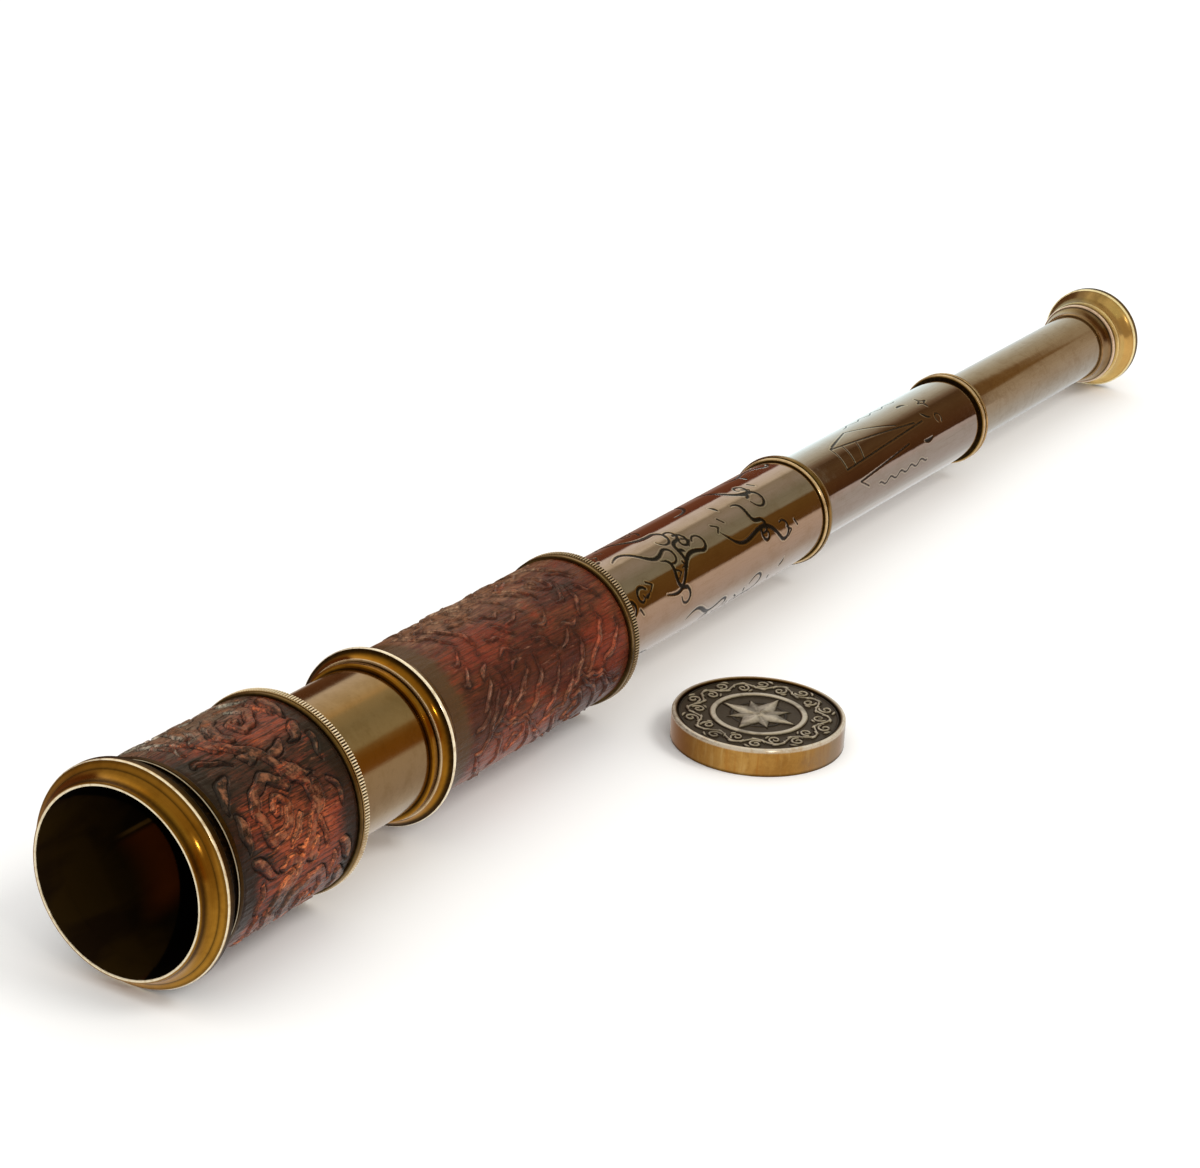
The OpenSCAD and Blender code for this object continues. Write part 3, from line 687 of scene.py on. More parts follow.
barrel_hide = hide("tooled_leather_barrel",
                   [(0.0, (0.020, 0.007, 0.004)), (0.22, (0.048, 0.010, 0.005)), (0.42, (0.085, 0.014, 0.006)), (0.60, (0.095, 0.026, 0.009)),
                    (0.8, (0.15, 0.022, 0.007)), (1.0, (0.25, 0.036, 0.009))],
                   0.22, 8.5, (0.064, 0.032, 0.011), (0.34, 0.150, 0.085), seed=7.0, brush_dark=0.5, blot=1.3, back=(130.0, 0.0), shine=0.26, scuffs_and_highlight=0.55,
                   outline=(0.05, 0.22), wear_and_highlight=0.85, shade=0.9,
                   # patches: the paler olive-brown one over the top (-44 degrees) is partly the leather's tone and
                   # partly painted sheen, the pinkish one underneath (160 degrees) a painted reflection of the floor;
                   # the others give uneven colour
                   patches=[((126.0, -44.0, 52.0, (18.3, 16.0), 0.85), (0.230, 0.105, 0.052)), ((138.0, 62.0, 26.0, (18.3, 7.0), 0.60), (0.048, 0.009, 0.004)), ((118.0, 28.0, 14.0, (18.3, 6.0), 0.5), (0.20, 0.024, 0.008)),
                            ((160.0, 78.0, 9.0, (18.3, 9.0), 0.6), (0.20, 0.024, 0.007)), ((109.0, 76.0, 9.0, (18.3, 9.0), 0.7), (0.042, 0.011, 0.005)),
                            ((122.0, 120.0, 20.0, (18.3, 9.0), 0.65), (0.26, 0.048, 0.018)), ((156.0, 108.0, 12.0, (18.3, 6.0), 0.6), (0.055, 0.011, 0.005)),
                            ((128.0, 160.0, 34.0, (18.3, 10.0), 0.65), (0.29, 0.105, 0.050)), ((130.0, 225.0, 30.0, (18.3, 9.0), 0.5), (0.05, 0.018, 0.008))])
black = blackened("blackened_brass", (0.010, 0.007, 0.004), 0.45, (0.022, 0.011, 0.004))
lacquer_and_painted_light = inner_wall("dark_wall_painted_light")
lens = glass("lens_glass", (0.80, 0.86, 0.84))
struck = pewter("dark_pewter")


def face_material(ob, mat, test):
    """Gives mat to the faces whose centre (x, radius), in millimetres, passes the test."""
    me = ob.data
    me.materials.append(mat)
    n = len(me.polygons)
    c = np.zeros(n * 3)
    me.polygons.foreach_get("center", c)
    c = c.reshape(-1, 3) / MM
    idx = np.where(test(c[:, 0], np.hypot(c[:, 1], c[:, 2])), len(me.materials) - 1, 0).astype(np.int32)
    me.polygons.foreach_set("material_index", idx)
    return ob


def finish_piece(ob, mat, body, slot, *replaced):
    ob.data.materials.clear()
    ob.data.materials.append(mat)
    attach(ob, body)
    if replaced:
        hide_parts(*replaced)
    return ob


# ---------------------------------------------------------------- sunshade

bezel = [P(21, 0.30, 0.2), P(21.0, 0.0, 0.18, w=0.9), P(21.40, 0.0, 0.03, w=1.0), P(21.52, 0.0, 0.03, 0.1, w=0.3), P(21.66, 0.0, 0.10, 0.2), P(21.80, 0.14, 0.05, 0.35), P(21.85, 0.34, 0.03, 0.6),
         P(21.85, 1.12, 0.08, 0.75)]
bezel += [P(r - (0.05 if i == 8 else 0.0), x, 0.03, (0.5, 0.15, 0, 0, 0, 0, 0, 0.1, 0.62, 0.1, 0, 0, 0.35)[i])
          for i, (r, x) in enumerate(arc((21.95, 1.25), (24.9, 4.58), 0.62, 14))]
bezel += [P(24.93, 4.62, 0.02, 0.45), P(24.97, 4.68, 0.02, w=0.9), P(25.09, 4.88, 0.1, w=1.0), P(25.2, 5.10, 0.1, w=0.6), P(25.2, 5.20, 0.02, 0.7),
          P(25.2, 5.42, 0.02, 0.9), P(25.2, 5.5, 0.02, 0.8), P(25.2, 6.0, 0.02, 0.9), P(25.2, 6.55, 0.12, 0.95), P(24.9, 6.9, 0.08, 1.0), P(22.45, 7.1, 0.2, 1.0),
          P(22.45, 10.85, 0.1, 1.0), P(22.88, 10.9, 0.05, 0.9), P(22.93, 10.98, 0.03, 0.6, w=0.9), P(22.95, 11.2, 0.03, 0.6, w=0.9), P(22.93, 11.3, 0.02, 0.9),
          P(22.80, 11.45, 0.03, 1.0), P(22.93, 11.6, 0.02, 0.9), P(22.95, 11.7, 0.03, 0.85), P(22.95, 12.6, 0.04, 0.88), P(22.9, 12.72, 0.04, 0.95),
          P(22.7, 13.0, 0.04, 1.0), P(21.9, 13.0, 0.02), P(21.9, 7, 0.02), P(21, 7, 0.03), P(21, 1.6, 0.05)]
ring = finish_piece(lathe("bezel_ring", bezel, 420), ochre, "sunshade", "ochre_brass", "shade_bezel")
face_material(ring, lacquer_and_painted_light, lambda x, r: (r < 21.06) & (x > 0.22))

shade_wall = [P(21.3, 7, 0.03), P(21.9, 7, 0.03), P(21.9, 52.9, 0.03), P(21.3, 52.9, 0.03)]
finish_piece(lathe("shade_wall", shade_wall, 256), lacquer_and_painted_light, "sunshade", "blackened_brass", "shade_tube")

rear = [P(20.5, 51.1, 0.05), P(21.3, 51.1, 0.02), P(21.3, 52.9, 0.02), P(22.95, 52.9, 0.05, 0.9), P(23.25, 53.05, 0.08, 0.65), P(23.34, 53.5, 0.2, 0.5),
        P(23.28, 53.78, 0.08, 0.55), P(23.02, 53.92, 0.03, 0.95), P(23.35, 54.02, 0.06, 0.3), P(23.5, 54.2, 0.08, 0.0, 0.1, 0.5), P(23.58, 54.36, 0.04, 0.0, 0.45),
        P(23.58, 55.75, 0.06, 0.0, 0.45), P(23.35, 56.05, 0.08, 0.1, 0.3), P(22.6, 56.6, 0.15, 0.3), P(17.7, 56.6, 0.1, 0.9),
        P(17.7, 55, 0.02, 1.0), P(20.5, 55, 0.02)]
finish_piece(lathe("shade_back_ring", rear, teeth=210), knurled, "sunshade", "ochre_brass", "shade_rear_ring")

# ---------------------------------------------------------------- sunshade leather: a bold running scroll of leaves


def fill_gaps(strokes, round_mm, x0, x1, tries, seed, gap, length, belly, slant, curl=75, root=0.25):
    """Adds small strokes wherever one fits with the gap to spare."""
    rng = np.random.default_rng(seed)
    taken = np.concatenate(strokes)
    taken = np.concatenate([taken, taken + (round_mm, 0, 0), taken - (round_mm, 0, 0)])
    out = list(strokes)
    for _ in range(tries):
        s, x = rng.uniform(0, round_mm), rng.uniform(x0, x1)
        angle = rng.choice(slant) + rng.uniform(-22, 22)
        size = rng.uniform(0.6, 1.0)
        new = comma(s, x, angle, length * size, rng.uniform(-curl, curl), root, belly * size, 9)
        if new[:, 1].min() < x0 or new[:, 1].max() > x1:
            continue
        far = np.hypot(taken[:, None, 0] - new[None, :, 0], taken[:, None, 1] - new[None, :, 1]) - taken[:, None, 2] - new[None, :, 2]
        if far.min() > gap:
            out.append(new)
            taken = np.concatenate([taken, new, new + (round_mm, 0, 0), new - (round_mm, 0, 0)])
    return out


def shade_lines():
    out = []
    round_mm = TAU * 22.62
    waves, mid = 3, 33.2
    pitch = round_mm / waves
    out.append(stroke(wave(0, round_mm, mid, 6.4, pitch, 300), 1.15))
    for i in range(2 * waves):
        s = pitch * (i + 0.5) / 2
        up = 1 if i % 2 == 0 else -1
        cx = mid - up * 5.4
        out.append(stroke(spiral(s, cx, 8.0, 1.9, 90 * up + 35, 1.25, up, 46), 1.25, 0.7, 0.2))
        out.append(stroke(circle_line(s, cx, 0.5, 8), 0.7))
        for ds, dx, angle, length, bend, belly in ((-9.6, 9.4, 22, 9.0, 40, 1.15), (-2.0, 13.6, 8, 8.6, -45, 1.15), (9.4, 11.2, -48, 7.6, -40, 1.05),
                                                   (-11.4, -7.8, -60, 8.2, 55, 1.1), (-3.4, -11.0, -14, 8.8, 30, 1.1), (7.2, -9.4, 24, 7.6, 45, 1.05),
                                                   (10.6, -1.6, 62, 7.4, 40, 1.0), (-11.6, 1.2, 104, 6.0, 40, 0.95)):
            out.append(comma(s + ds, cx + up * dx, up * angle, length, up * bend, 0.5, belly))
    out = fill_gaps(out, round_mm, 16.8, 49.6, 1500, 5, 0.75, 10.0, 0.42, (4.0, 8.0, 74.0, 96.0), 30, 0.50)
    return wander(out, 0.75, 3)


def leather_height(lines, round_mm, x0, x1, ridge, cut, seed, wrinkle, streaks=1.0):
    def height(x, s):
        d = line_field(lines, s, x, 2.2)
        shape = d.shape
        streak = hash_noise(shape, (shape[0] * 0.03, shape[1] * 0.30), seed)
        streak += 0.6 * hash_noise(shape, (shape[0] * 0.10, shape[1] * 0.55), seed + 1)
        lump = hash_noise(shape, (7, 26), seed + 2) + 0.7 * hash_noise(shape, (17, 60), seed + 3)
        fine = hash_noise(shape, (shape[0] * 0.3, shape[1] * 0.4), seed + 4)
        dn = d + 0.30 * hash_noise(shape, (shape[0] * 0.13, shape[1] * 0.13), seed + 5)
        t = np.clip((0.02 - dn) / 0.42, 0, 1)
        top = t * t * (3 - 2 * t)
        h = ridge * top * (1 + 0.8 * hash_noise(shape, (9, 34), seed + 6)) - cut * np.exp(-((dn - 0.20) / 0.20) ** 2)
        h += wrinkle * ((0.13 * streaks * streak) * (1 - 0.5 * top) + 0.18 * lump + 0.05 * fine)
        end = np.minimum(x - x0, x1 - x)[:, None] * np.ones((1, shape[1]))
        fade = np.clip(end / 1.2, 0, 1)
        h = h * fade - 0.22 * (1 - fade) ** 2
        # slopes of the relief, kept as painted_light: used to paint light on the upper sides of the strokes and shade
        # on their lower sides
        gx = np.gradient(h, x[1] - x[0], axis=0)
        gs = (np.roll(h, -1, 1) - np.roll(h, 1, 1)) / (2 * (s[1] - s[0]))
        painted_light = 0.55 * gx - 0.9 * np.cos(s / round_mm * TAU)[None, :] * gs
        return h, {"line": d, "end": end, "painted_light": painted_light}
    return height


LEATHER = {"line": (2.2, "line"), "end": (0.0, "end"), "painted_light": (0.0, "painted_light")}
r = 22.62
finish_piece(
    sleeve("shade_leather_wrap", 21.9, r, 13.0, 52.9, 13.25, 52.65, 0.20,
           leather_height(shade_lines(), TAU * r, 13.0, 52.9, 0.42, 0.42, 11, 1.0, 1.3), LEATHER, 720),
    shade_hide, "sunshade", "tooled_leather", "shade_leather")

# ---------------------------------------------------------------- barrel

finish_piece(lathe("main_tube_turned", [P(16.9, 49.8, 0.05), P(17.65, 49.8, 0.05), P(17.65, 172, 0.05), P(16.9, 172, 0.05)], 360),
             bare, "barrel", "aged_brass", "main_tube")

flange = [P(17.65, 86.8, 0.02, 0.9), P(18.4, 86.8, 0.10, 0.2), P(18.75, 87.1, 0.12), P(18.75, 88.35, 0.12, 0.2), P(18.42, 88.72, 0.05, 0.95),
          P(18.42, 89.05, 0.05, 0.9), P(19.1, 89.28, 0.08, w=0.5)]
flange += [P(r, x, 0.04, (0, 0, 0, 0, 0.15, 0.5, 0.8, 0.9, 0.95)[i]) for i, (r, x) in enumerate(arc((19.15, 89.32), (20.9, 91.2), 0.33, 10))]
flange += [P(20.93, 91.24, 0.02, 0.9), P(20.97, 91.28, 0.02, w=1.0), P(21.12, 91.5, 0.06, w=1.0), P(21.12, 92.0, 0.08, w=1.0), P(21.0, 92.2, 0.04, 0.6), P(20.6, 92.62, 0.12, 0.6),
           P(19.3, 94.5, 0.4, 0.3), P(19.05, 95.55, 0.06, 0.8), P(17.65, 95.6, 0.02)]
finish_piece(lathe("flange_ring", flange, 360), flange_gold, "barrel", "ochre_brass", "front_flange")

guide = [P(13.75, 162.6, 0.05), P(16.9, 162.6, 0.02), P(16.9, 172, 0.02), P(17.65, 172, 0.02), P(17.65, 169.6, 0.02), P(18.9, 169.6, 0.08, 0.8),
         P(19.1, 169.9, 0.06, 0.5), P(19.15, 170.0, 0.03, 0.2, w=0.35), P(19.17, 170.3, 0.05, 0.3, w=0.15), P(19.17, 170.5, 0.1, 0.45), P(19.1, 170.85, 0.08, 0.6),
         P(18.75, 171.1, 0.05, 0.95), P(19.1, 171.25, 0.06, 0.3, 0.1, 0.1), P(19.28, 171.45, 0.06, 0.15, 0.32), P(19.28, 172.85, 0.06, 0.15, 0.32),
         P(19.12, 173.15, 0.05, 0.5, 0.1), P(18.5, 174.0, 0.25, 0.35), P(17.3, 174.5, 0.25, 0.3), P(13.75, 174.5, 0.12, 0.7)]
finish_piece(lathe("guide_ring", guide, teeth=168), knurled_dull, "barrel", "ochre_brass", "rear_guide_ring")


def barrel_lines():
    out = []
    round_mm = TAU * 18.34
    for k in range(3):
        c = round_mm * (k + 0.56) / 3
        out.append(stroke(wave_x(104, 166, c, 3.4, 34, 110, phase=k * 2.1), 0.55, 0.4))
        for i in range(9):
            x = 104.5 + 6.4 * i
            s = c + 3.4 * math.sin(TAU * x / 34 + k * 2.1)
            for hand in (1, -1):
                if (i + k) % 4 == 3 and hand > 0:
                    out.append(stroke(spiral(s + 6.2, x + 3.2, 4.6, 1.0, 200, 1.3, -1, 34), 0.6, 0.35))
                    continue
                out.append(comma(s + hand * 0.9, x + (2.6 if hand < 0 else 0), 90 - hand * 30, 14.0 + 2.6 * math.sin(i * 1.9 + k), -hand * (58 + 26 * math.sin(i * 2.3)), 0.3, 0.55, 20))
    out = fill_gaps(out, round_mm, 104.0, 167.0, 420, 8, 0.8, 9.0, 0.5, (90.0, 70.0, 110.0))
    return wander(out, 0.8, 9)


r = 18.34
finish_piece(
    sleeve("barrel_leather_wrap", 17.65, r, 95.6, 169.6, 95.85, 169.35, 0.25,
           leather_height(barrel_lines(), TAU * r, 95.6, 169.6, 0.36, 0.12, 31, 0.9, 0.8), LEATHER, 560),
    barrel_hide, "barrel", "tooled_leather", "barrel_leather")

# ---------------------------------------------------------------- draw tubes


def engraving(lines, round_mm, depth):
    def height(x, s):
        d = line_field(lines, s, x, 2.0)
        t = np.clip((0.12 - d) / 0.35, 0, 1)
        return -depth * t * t * (3 - 2 * t), {"line": d}
    return height


ENGRAVED = {"line": (2.0, "line")}


def draw_1_lines():
    """Pen flourishes, curls and small map marks, all made up."""
    rm = TAU * 13.7
    out = []
    for k in range(2):
        o = rm * k / 2
        out += [flourish(o + 9, 184, 62, 27, 2.4, 2.6, 1, 0.50), flourish(o + 20, 222, 118, 22, 2.2, 3.0, -1, 0.48), flourish(o + 24, 186, 78, 18, 2.0, 2.2, 1, 0.42),
                flourish(o + 31, 228, 70, 26, 2.6, 2.4, -1, 0.46), flourish(o + 12, 236, 50, 20, 2.0, 2.6, 1, 0.46), flourish(o + 38, 196, 104, 22, 2.2, 2.2, -1, 0.42),
                flourish(o + 14, 254, 74, 16, 1.8, 2.2, -1, 0.44), flourish(o + 30, 200, 30, 10, 1.6, 2.0, 1, 0.46), flourish(o + 34, 206, 140, 9, 1.5, 1.8, -1, 0.44),
                flourish(o + 27, 178, 20, 9, 1.4, 1.8, 1, 0.46), flourish(o + 5, 206, 88, 18, 1.8, 2.4, 1, 0.42), flourish(o + 26, 240, 40, 9, 1.4, 1.8, 1, 0.44)]
        for s, x, r0, a0, turns, hand in ((16.5, 205, 3.0, 20, 1.1, 1), (28.0, 213, 2.6, 200, 1.2, -1), (35.5, 186, 2.8, 120, 1.0, 1), (22.5, 250, 3.2, 300, 1.1, 1),
                                          (9.5, 219, 2.4, 40, 1.1, -1), (37.0, 246, 2.6, 160, 1.1, 1)):
            out.append(stroke(spiral(o + s, x, r0, 0.5, a0, turns, hand, 22), 0.34, 0.16, 0.12))
        for i in range(30):
            s = o + 4 + 36 * ((i * 0.6180340) % 1.0)
            x = 180 + 90 * ((i * 0.7548777) % 1.0)
            if i % 3 == 0:
                out.append(stroke([(s - 1.3, x - 0.8), (s, x + 1.2), (s + 1.3, x - 0.6)], 0.26, 0.18))
            elif i % 3 == 1:
                out.append(comma(s, x, 40 + 47 * i % 180, 2.8, 60, 0.15, 0.36, 6))
            else:
                out.append(stroke([(s, x), (s + 1.6, x + 1.0)], 0.30, 0.22))
    return out


def draw_2_lines():
    """A made-up pennant, rigging and wavelets."""
    rm = TAU * 11.8
    out = []
    for c in (rm * 0.34, rm * 0.84):
        thin = [[(c + 3.0, 296), (c + 1.2, 342)], [(c - 4.6, 298), (c + 0.6, 338)], [(c + 3.0, 296), (c - 4.6, 298)], [(c - 3.6, 303), (c + 2.7, 301)],
                [(c + 2.4, 306), (c - 2.4, 309)], [(c - 5.4, 300), (c - 8.2, 312)], [(c - 4.6, 298), (c - 8.2, 312)], [(c - 8.2, 312), (c - 1.4, 330)],
                [(c + 7.6, 300), (c + 5.0, 330)], [(c + 7.6, 300), (c + 9.8, 304)], star(c - 4.0, 350, 2.2, 4, 0.3), circle_line(c + 2.5, 350, 1.4, 14, 20, 320)]
        out += [stroke(q, 0.20) for q in thin]
        out += [stroke(wave_x(310, 338, c + 11.2, 0.6, 6, 40), 0.2), stroke(wave_x(316, 346, c - 11.0, 0.7, 7, 40), 0.2), comma(c + 6.4, 338, 70, 5.5, 40, 0.15, 0.4),
                comma(c - 1.0, 344, 20, 4.0, 60, 0.15, 0.35), comma(c - 6.6, 340, 110, 4.4, -60, 0.15, 0.35)]
    return out


r = 13.7
finish_piece(sleeve("draw_1_engraved", 13.0, r, 150.6, 278, 175.5, 274.5, 0.26, engraving(draw_1_lines(), TAU * r, 0.10),
                    ENGRAVED, 340, end=0.05), draw_one, "draw_1", "polished_brass", "draw_1_tube")
r = 11.8
finish_piece(sleeve("draw_2_engraved", 11.1, r, 255, 373.3, 281, 370, 0.26, engraving(draw_2_lines(), TAU * r, 0.08),
                    ENGRAVED, 300, end=0.05), draw_two, "draw_2", "polished_brass", "draw_2_tube")
third = lathe("draw_3_turned", [P(9.05, 351, 0.05), P(9.75, 351, 0.05), P(9.75, 460.4, 0.05), P(9.05, 460.4, 0.05)], 256)
third.data.attributes.new("line", "FLOAT", "POINT").data.foreach_set("value", np.full(len(third.data.vertices), 2.0, np.float32))
finish_piece(third, draw_three, "draw_3", "polished_brass", "draw_3_tube")

c1 = [P(11.85, 267, 0.05), P(13, 267, 0.02), P(13, 278, 0.02), P(13.7, 278, 0.02), P(13.7, 275.1, 0.02, 0.95), P(14.1, 275.1, 0.06, 0.5), P(14.2, 275.18, 0.03, w=0.5),
      P(14.5, 275.5, 0.12, w=0.7), P(14.58, 275.66, 0.03, w=0.6), P(14.56, 275.74, 0.02, 0.95), P(14.7, 275.9, 0.03, 0.95), P(14.82, 276.05, 0.05, 0.4), P(14.92, 276.7, 0.3, 0.15),
      P(14.86, 277.4, 0.3, 0.25), P(14.6, 278.25, 0.3, 0.5), P(13.95, 278.9, 0.2, 0.8), P(13.3, 279.2, 0.1, 0.9), P(11.85, 279.2, 0.05, 0.9)]
finish_piece(lathe("draw_1_end_collar", c1, 300), collar, "draw_1", "ochre_brass", "draw_1_collar")
c2 = [P(9.8, 363, 0.05), P(11.1, 363, 0.02), P(11.1, 373.3, 0.02), P(11.8, 373.3, 0.02), P(11.8, 371, 0.02, 0.95), P(12.45, 371, 0.05, 0.95), P(12.65, 371.1, 0.03, 0.2),
      P(12.95, 371.3, 0.10, w=0.55), P(13.08, 371.7, 0.15, w=0.5), P(13.0, 372.15, 0.08, 0.1), P(12.70, 372.4, 0.04, 0.95), P(12.66, 372.82, 0.05, 0.95),
      P(12.9, 372.98, 0.04, 0.1), P(12.98, 373.1, 0.10, w=0.5), P(13.08, 373.5, 0.15, 0.1, w=0.2), P(12.95, 373.95, 0.12, 0.4), P(12.6, 374.25, 0.12, 0.8), P(12.1, 374.5, 0.08, 0.9),
      P(9.8, 374.5, 0.05, 0.9)]
finish_piece(lathe("draw_2_end_collar", c2, 300), collar, "draw_2", "ochre_brass", "draw_2_collar")

# ---------------------------------------------------------------- eyepiece

e1 = [P(9.75, 457.4, 0.02, 0.6), P(10.2, 457.4, 0.12, 0.1), P(10.42, 457.65, 0.1)]
e1 += [P(r, x, 0.05, 0.15) for r, x in arc((10.48, 457.75), (11.45, 461.2), 0.3, 8)]
e1 += [P(11.5, 461.32, 0.05, 0.6), P(11.35, 461.6, 0.04, 1.0), P(11.9, 461.8, 0.08, w=0.6), P(12.1, 462.2, 0.15, w=0.8), P(12.12, 462.7, 0.1, 0.2), P(11.85, 463.2, 0.1, 0.7),
       P(11.2, 463.45, 0.05, 1.0), P(11.2, 464, 0.02, 1.0), P(9.05, 464, 0.02), P(9.05, 460.4, 0.02), P(9.75, 460.4, 0.02)]
finish_piece(lathe("eyepiece_cove_ring", e1, 300), cove, "draw_3", "ochre_brass", "eyepiece_collar")
e2 = [P(9.05, 464, 0.02), P(11.5, 464, 0.1, 0.6), P(12.15, 464.3, 0.12, w=0.2), P(12.4, 464.75, 0.15, w=0.5), P(12.4, 465.3, 0.12, 0.35), P(12.12, 465.7, 0.08, 0.7),
      P(11.9, 466.0, 0.06, 0.95)]
e2 += [P(r, x, 0.05) for r, x in arc((11.95, 466.12), (14.5, 470.55), 0.68, 12)]
e2 += [P(14.62, 470.68, 0.05, 0.2), P(14.68, 470.74, 0.02, w=0.9), P(15, 471.0, 0.1, w=0.9), P(15, 471.3, 0.02, w=0.5), P(15, 471.45, 0.02, 0.8), P(15, 472.9, 0.2, 0.8), P(14.65, 473.4, 0.2, 0.3), P(14.1, 473.6, 0.1), P(11.9, 473.05, 0.3)]
e2 += [P(r, x, 0.05) for r, x in arc((11.6, 472.95), (3.35, 469.95), -0.55, 10)]
e2 += [P(3.2, 470.1, 0.1), P(3.2, 466.9, 0.1, 1.0), P(8.3, 466.9, 0.02, 1.0), P(8.3, 466, 0.02), P(9.05, 466, 0.02)]
finish_piece(lathe("eyecup_bell", e2, 320), bright, "draw_3", "bright_brass", "eyecup")

# ---------------------------------------------------------------- lens cap

SLOPE = (25.2 - 15.0) / (472.9 - 6.6)
TILT = math.atan(SLOPE)


def table_z(x):
    return -25.2 + (x - 6.6) * SLOPE


def lay_cap(ob):
    """Turns a cap built round the X axis (station = height) to lie on the tabletop."""
    v = np.zeros(len(ob.data.vertices) * 3)
    ob.data.vertices.foreach_get("co", v)
    v = v.reshape(-1, 3) / MM
    h, a, b = v[:, 0], v[:, 1], v[:, 2]
    x, y, z = a, b, h
    c, s = math.cos(TILT), math.sin(TILT)
    w = np.stack([x * c - z * s + 187.8, y - 45.0, x * s + z * c + table_z(187.8)], -1) * MM
    ob.data.vertices.foreach_set("co", w.ravel())
    ob.data.update()
    return ob


cap = [P(20.05, 0, 0.15, 0.6), P(20.95, 0, 0.12, 0.7), P(20.95, 0.5, 0.02, 0.35), P(20.95, 0.8, 0.02), P(20.95, 5.95, 0.05), P(20.95, 6.1, 0.02, w=0.45), P(20.93, 6.5, 0.1, w=0.9), P(20.72, 6.86, 0.2, w=1.0),
       P(20.4, 7.0, 0.15, w=1.0), P(20.1, 7.0, 0.1, 0.3, 0.0, 0.6), P(19.74, 6.8, 0.08, 0.7), P(19.7, 6.02, 0.02, 1.0), P(3.0, 6.0, 0.0, 0.5), P(0.02, 6.0, 0.0),
       P(0.02, 5.1, 0.0), P(3.0, 5.1, 0.0), P(20.05, 5.1, 0.3, 0.5)]
finish_piece(lay_cap(lathe("cap_cup", cap, 400)), cap_gold, "lens_cap", "ochre_brass", "cap_shell")


def medal():
    nr, nt, edge_r = 130, 760, 19.6
    rr = np.concatenate([[0.0], np.linspace(0.12, edge_r, nr)])
    th = np.arange(nt) / nt * TAU
    R, T = np.meshgrid(rr, th, indexing="ij")

    def step(a, b, v):
        t = np.clip((v - a) / (b - a), 0, 1)
        return t * t * (3 - 2 * t)

    ring = step(10.1, 10.5, R) * (1 - step(11.6, 12.1, R))
    ring += 0.45 * step(18.75, 18.95, R) * (1 - step(19.25, 19.4, R))
    # compass rose: eight broad ridged points, and a thin ring behind them
    X, Y = R * np.cos(T), R * np.sin(T)
    rose = 0.40 * step(6.0, 6.25, R) * (1 - step(6.8, 7.05, R))
    for k in range(8):
        a = k * math.pi / 4
        reach, wide = (10.6, 3.0) if k % 2 == 0 else (8.4, 2.3)
        u = X * math.cos(a) + Y * math.sin(a)
        v = -X * math.sin(a) + Y * math.cos(a)
        base = 3.0
        half = np.where(u < base, wide * np.clip(u / base, 0, 1), wide * np.clip((reach - u) / (reach - base), 0, 1))
        inside = np.clip((half - np.abs(v)) / 0.5, 0, 1) * (u > 0)
        spine = 1 - 0.38 * np.clip(np.abs(v) / np.maximum(half, 0.3), 0, 1)
        rose = np.maximum(rose, inside * spine * (1.0 if k % 2 == 0 else 0.8))
    rose = np.maximum(rose, (1 - step(1.3, 1.7, R)) * 0.9)
    # running scroll of ten waves, with a volute and leaves in each bend
    scroll = []
    pitch, mid = TAU * 15.5 / 10, 15.7
    scroll.append(stroke(wave(0, TAU * 15.5, mid, 1.35, pitch, 300), 0.36))
    for k in range(20):
        c = (k + 0.5) * pitch / 2
        up = 1 if k % 2 == 0 else -1
        scroll.append(stroke(spiral(c, mid - up * 1.15, 1.75, 0.40, 90 * up + 35, 1.2, up, 24), 0.40, 0.30))
        for ds, dx, angle, length, bend in ((-1.2, 2.75, 10, 2.4, -50), (1.4, 2.35, -50, 2.0, -40), (-2.3, -0.9, -60, 1.9, 50)):
            scroll.append(comma(c + ds, mid - up * 1.15 + up * dx, up * angle, length, up * bend, 0.22, 0.26, 8))
    field = np.full(R.shape, 1.0)
    field[1:] = line_field(scroll, th * 15.5, rr[1:], 1.0)
    leaves = np.clip((0.12 - field) / 0.34, 0, 1)
    relief = np.clip(np.maximum.reduce([ring, rose, leaves]), 0, 1)
    dish = -0.10 * (1 - (R / edge_r) ** 2)
    z = 6.25 + dish + 0.55 * relief + 0.02 * np.sin(T * 7 + R)
    z = np.where(R > 19.45, 6.25, z)
    # top grid, then the edge down to the underside
    edge = np.stack([6.05 * np.ones(nt), edge_r * np.cos(th), edge_r * np.sin(th)], -1)
    top = np.stack([z[1:], X[1:], Y[1:]], -1).reshape(-1, 3)
    verts = np.concatenate([top, edge, [[float(z[0, 0]), 0, 0], [6.05, 0, 0]]])
    i = np.arange(nr)[:, None]
    j = np.arange(nt)[None, :]
    j2 = (j + 1) % nt
    quads = np.stack([i * nt + j, i * nt + j2, (i + 1) * nt + j2, (i + 1) * nt + j], -1).reshape(-1, 4)
    centre_top, centre_low = len(verts) - 2, len(verts) - 1
    jj = np.arange(nt)
    t1 = np.stack([np.full(nt, centre_top), (jj + 1) % nt, jj], -1)
    last = nr * nt
    t2 = np.stack([np.full(nt, centre_low), last + jj, last + (jj + 1) % nt], -1)
    rel = np.concatenate([relief[1:].ravel(), np.zeros(nt), [relief[0, 0], 0]])
    return mesh_object("cap_struck_disc", verts, quads, np.concatenate([t1, t2]), {"relief": rel})


disc = lay_cap(medal())
finish_piece(disc, struck, "lens_cap", "dark_pewter", "cap_medallion")

# ---------------------------------------------------------------- carried-over CAD nodes

